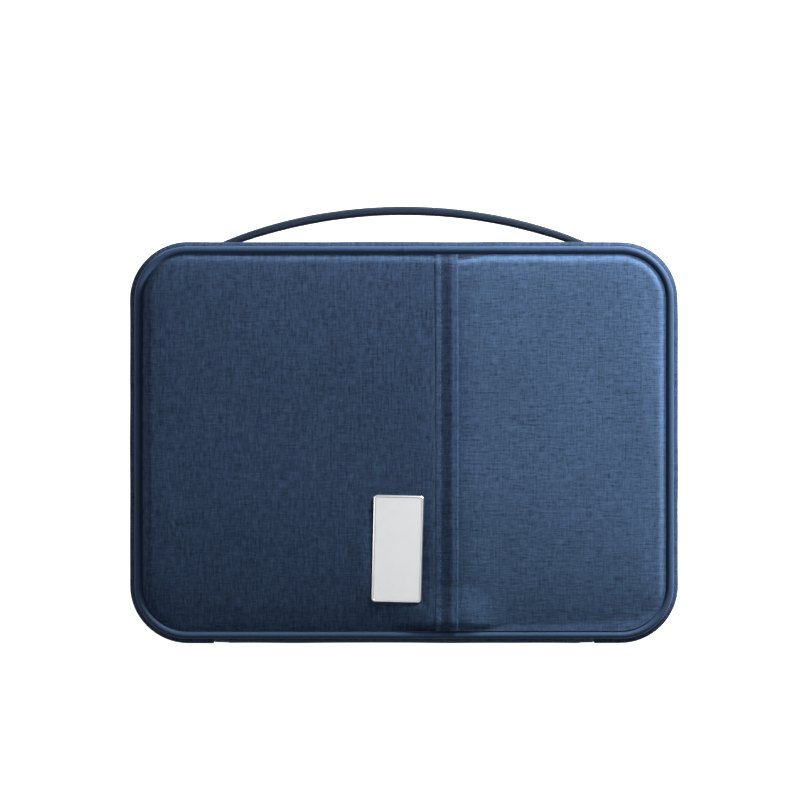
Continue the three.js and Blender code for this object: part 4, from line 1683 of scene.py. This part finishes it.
class ORGANIZER_OT_divider(bpy.types.Operator):
    """Build the middle leaf, its pocket and its binding"""

    bl_idname = "organizer.divider"
    bl_label = "Divider"

    def execute(self, context):
        body = "divider"
        dress("divider_leaf", lining_cloth())
        dress("divider_hinge_tape", strap_cloth())
        flat_cloth("divider_sleeve", "divider_pocket", body, pocket_cloth(), "pocket_cloth", 1, radius=6 * MM)
        mouth_binding("divider_sleeve_mouth", "divider_pocket", body, 2 * MM)
        lo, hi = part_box("divider_leaf")
        z = (lo.z + hi.z) / 2
        top = hi.y
        r = 18 * MM
        shoulder = -92 * MM
        edges = [((lo.x, shoulder, z), (lo.x, top - r, z)), ((hi.x, shoulder, z), (hi.x, top - r, z)),
                 ((lo.x + r, top, z), (hi.x - r, top, z))]
        for i, (a, b) in enumerate(edges):
            binding(f"divider_binding_{i + 1}", body, a, b, 3.4 * MM, 2.0 * MM, strap_cloth(), "webbing")
        return {"FINISHED"}


# ---- floor, light and camera ----


class ORGANIZER_OT_stage(bpy.types.Operator):
    """Set the floor, the soft light and the camera"""

    bl_idname = "organizer.stage"
    bl_label = "Stage"

    def execute(self, context):
        scene = context.scene
        scene.view_settings.view_transform = "Standard"
        self.floor()
        self.world(scene)
        self.light("key_light", (0.62, 0.70, 0.23), (0.34, 0.34), 33.0)
        self.light("top_light", (0.0, 0.0, 3.4), (2.4, 2.4), 19.0)
        self.light("side_light", (1.0, 0.5, 0.95), (0.8, 0.8), 5.0)
        self.light("left_light", (-0.9, 0.1, 0.24), (0.5, 0.2), 1.8)
        camera_data = bpy.data.cameras.new("camera")
        camera_data.lens = 200
        camera_data.sensor_width = 36
        camera = bpy.data.objects.new("camera", camera_data)
        frame_width = 0.4945
        distance = frame_width * camera_data.lens / camera_data.sensor_width
        camera.location = (-0.0025, 0.0264, FRONT_TOP + distance)
        scene.collection.objects.link(camera)
        scene.camera = camera
        return {"FINISHED"}

    def floor(self):
        deselect()
        bpy.ops.mesh.primitive_plane_add(size=6, location=(0, 0, -0.0006))
        floor = bpy.context.object
        floor.name = "floor"
        settle(floor)
        material, tree, shader = new_material("pale_floor")
        tone = noise_of(tree, scaled(tree, object_point(tree), (3, 3, 3)), 2.0, 0.5)
        stops = [(0.2, (0.86, 0.86, 0.86)), (0.8, (0.9, 0.9, 0.9))]
        tree.links.new(ramp(tree, tone, stops), shader.inputs["Base Color"])
        shader.inputs["Roughness"].default_value = 0.8
        shader.inputs["Emission Color"].default_value = (1, 1, 1, 1)
        seen = tree.nodes.new("ShaderNodeLightPath").outputs["Is Camera Ray"]
        glow = math_node(tree, "ADD", math_node(tree, "MULTIPLY", seen, 0.8), 0.2)
        tree.links.new(glow, shader.inputs["Emission Strength"])
        floor.data.materials.append(material)

    def world(self, scene):
        world = bpy.data.worlds.new("soft_room")
        world.use_nodes = True
        back = world.node_tree.nodes["Background"]
        back.inputs["Color"].default_value = (0.93, 0.96, 1.0, 1)
        back.inputs["Strength"].default_value = 0.03
        scene.world = world

    def light(self, name, place, size, power):
        data = bpy.data.lights.new(name, "AREA")
        data.shape = "RECTANGLE"
        data.size, data.size_y = size
        data.energy = power
        light = bpy.data.objects.new(name, data)
        light.location = place
        light.rotation_euler = (Vector((0, 0, 0.03)) - Vector(place)).to_track_quat("-Z", "Y").to_euler()
        bpy.context.scene.collection.objects.link(light)


# ---- panel and registration ----

STEPS = [
    ORGANIZER_OT_covers,
    ORGANIZER_OT_placket,
    ORGANIZER_OT_plate,
    ORGANIZER_OT_piping,
    ORGANIZER_OT_walls,
    ORGANIZER_OT_spine,
    ORGANIZER_OT_main_zip,
    ORGANIZER_OT_sliders,
    ORGANIZER_OT_handle,
    ORGANIZER_OT_front_pocket,
    ORGANIZER_OT_linings,
    ORGANIZER_OT_back_pockets,
    ORGANIZER_OT_mesh_pocket,
    ORGANIZER_OT_divider,
    ORGANIZER_OT_stage,
]


class ORGANIZER_PT_panel(bpy.types.Panel):
    """Lists the steps that build the organizer"""

    bl_label = "Document organizer"
    bl_idname = "ORGANIZER_PT_panel"
    bl_space_type = "VIEW_3D"
    bl_region_type = "UI"
    bl_category = "Organizer"

    def draw(self, context):
        for step in STEPS:
            self.layout.operator(step.bl_idname)
        for group in (context.scene.organizer_sizes, context.scene.organizer_colours):
            box = self.layout.box()
            for key in group.bl_rna.properties.keys():
                if key not in ("rna_type", "name"):
                    box.prop(group, key)


CLASSES = [OrganizerSizes, OrganizerColours, *STEPS, ORGANIZER_PT_panel]


def register():
    for entry in CLASSES:
        bpy.utils.register_class(entry)
    bpy.types.Scene.organizer_sizes = PointerProperty(type=OrganizerSizes)
    bpy.types.Scene.organizer_colours = PointerProperty(type=OrganizerColours)


def unregister():
    del bpy.types.Scene.organizer_sizes
    del bpy.types.Scene.organizer_colours
    for entry in reversed(CLASSES):
        bpy.utils.unregister_class(entry)


def main():
    register()
    for step in STEPS:
        group, name = step.bl_idname.split(".")
        getattr(getattr(bpy.ops, group), name)()


if __name__ == "__main__":
    main()
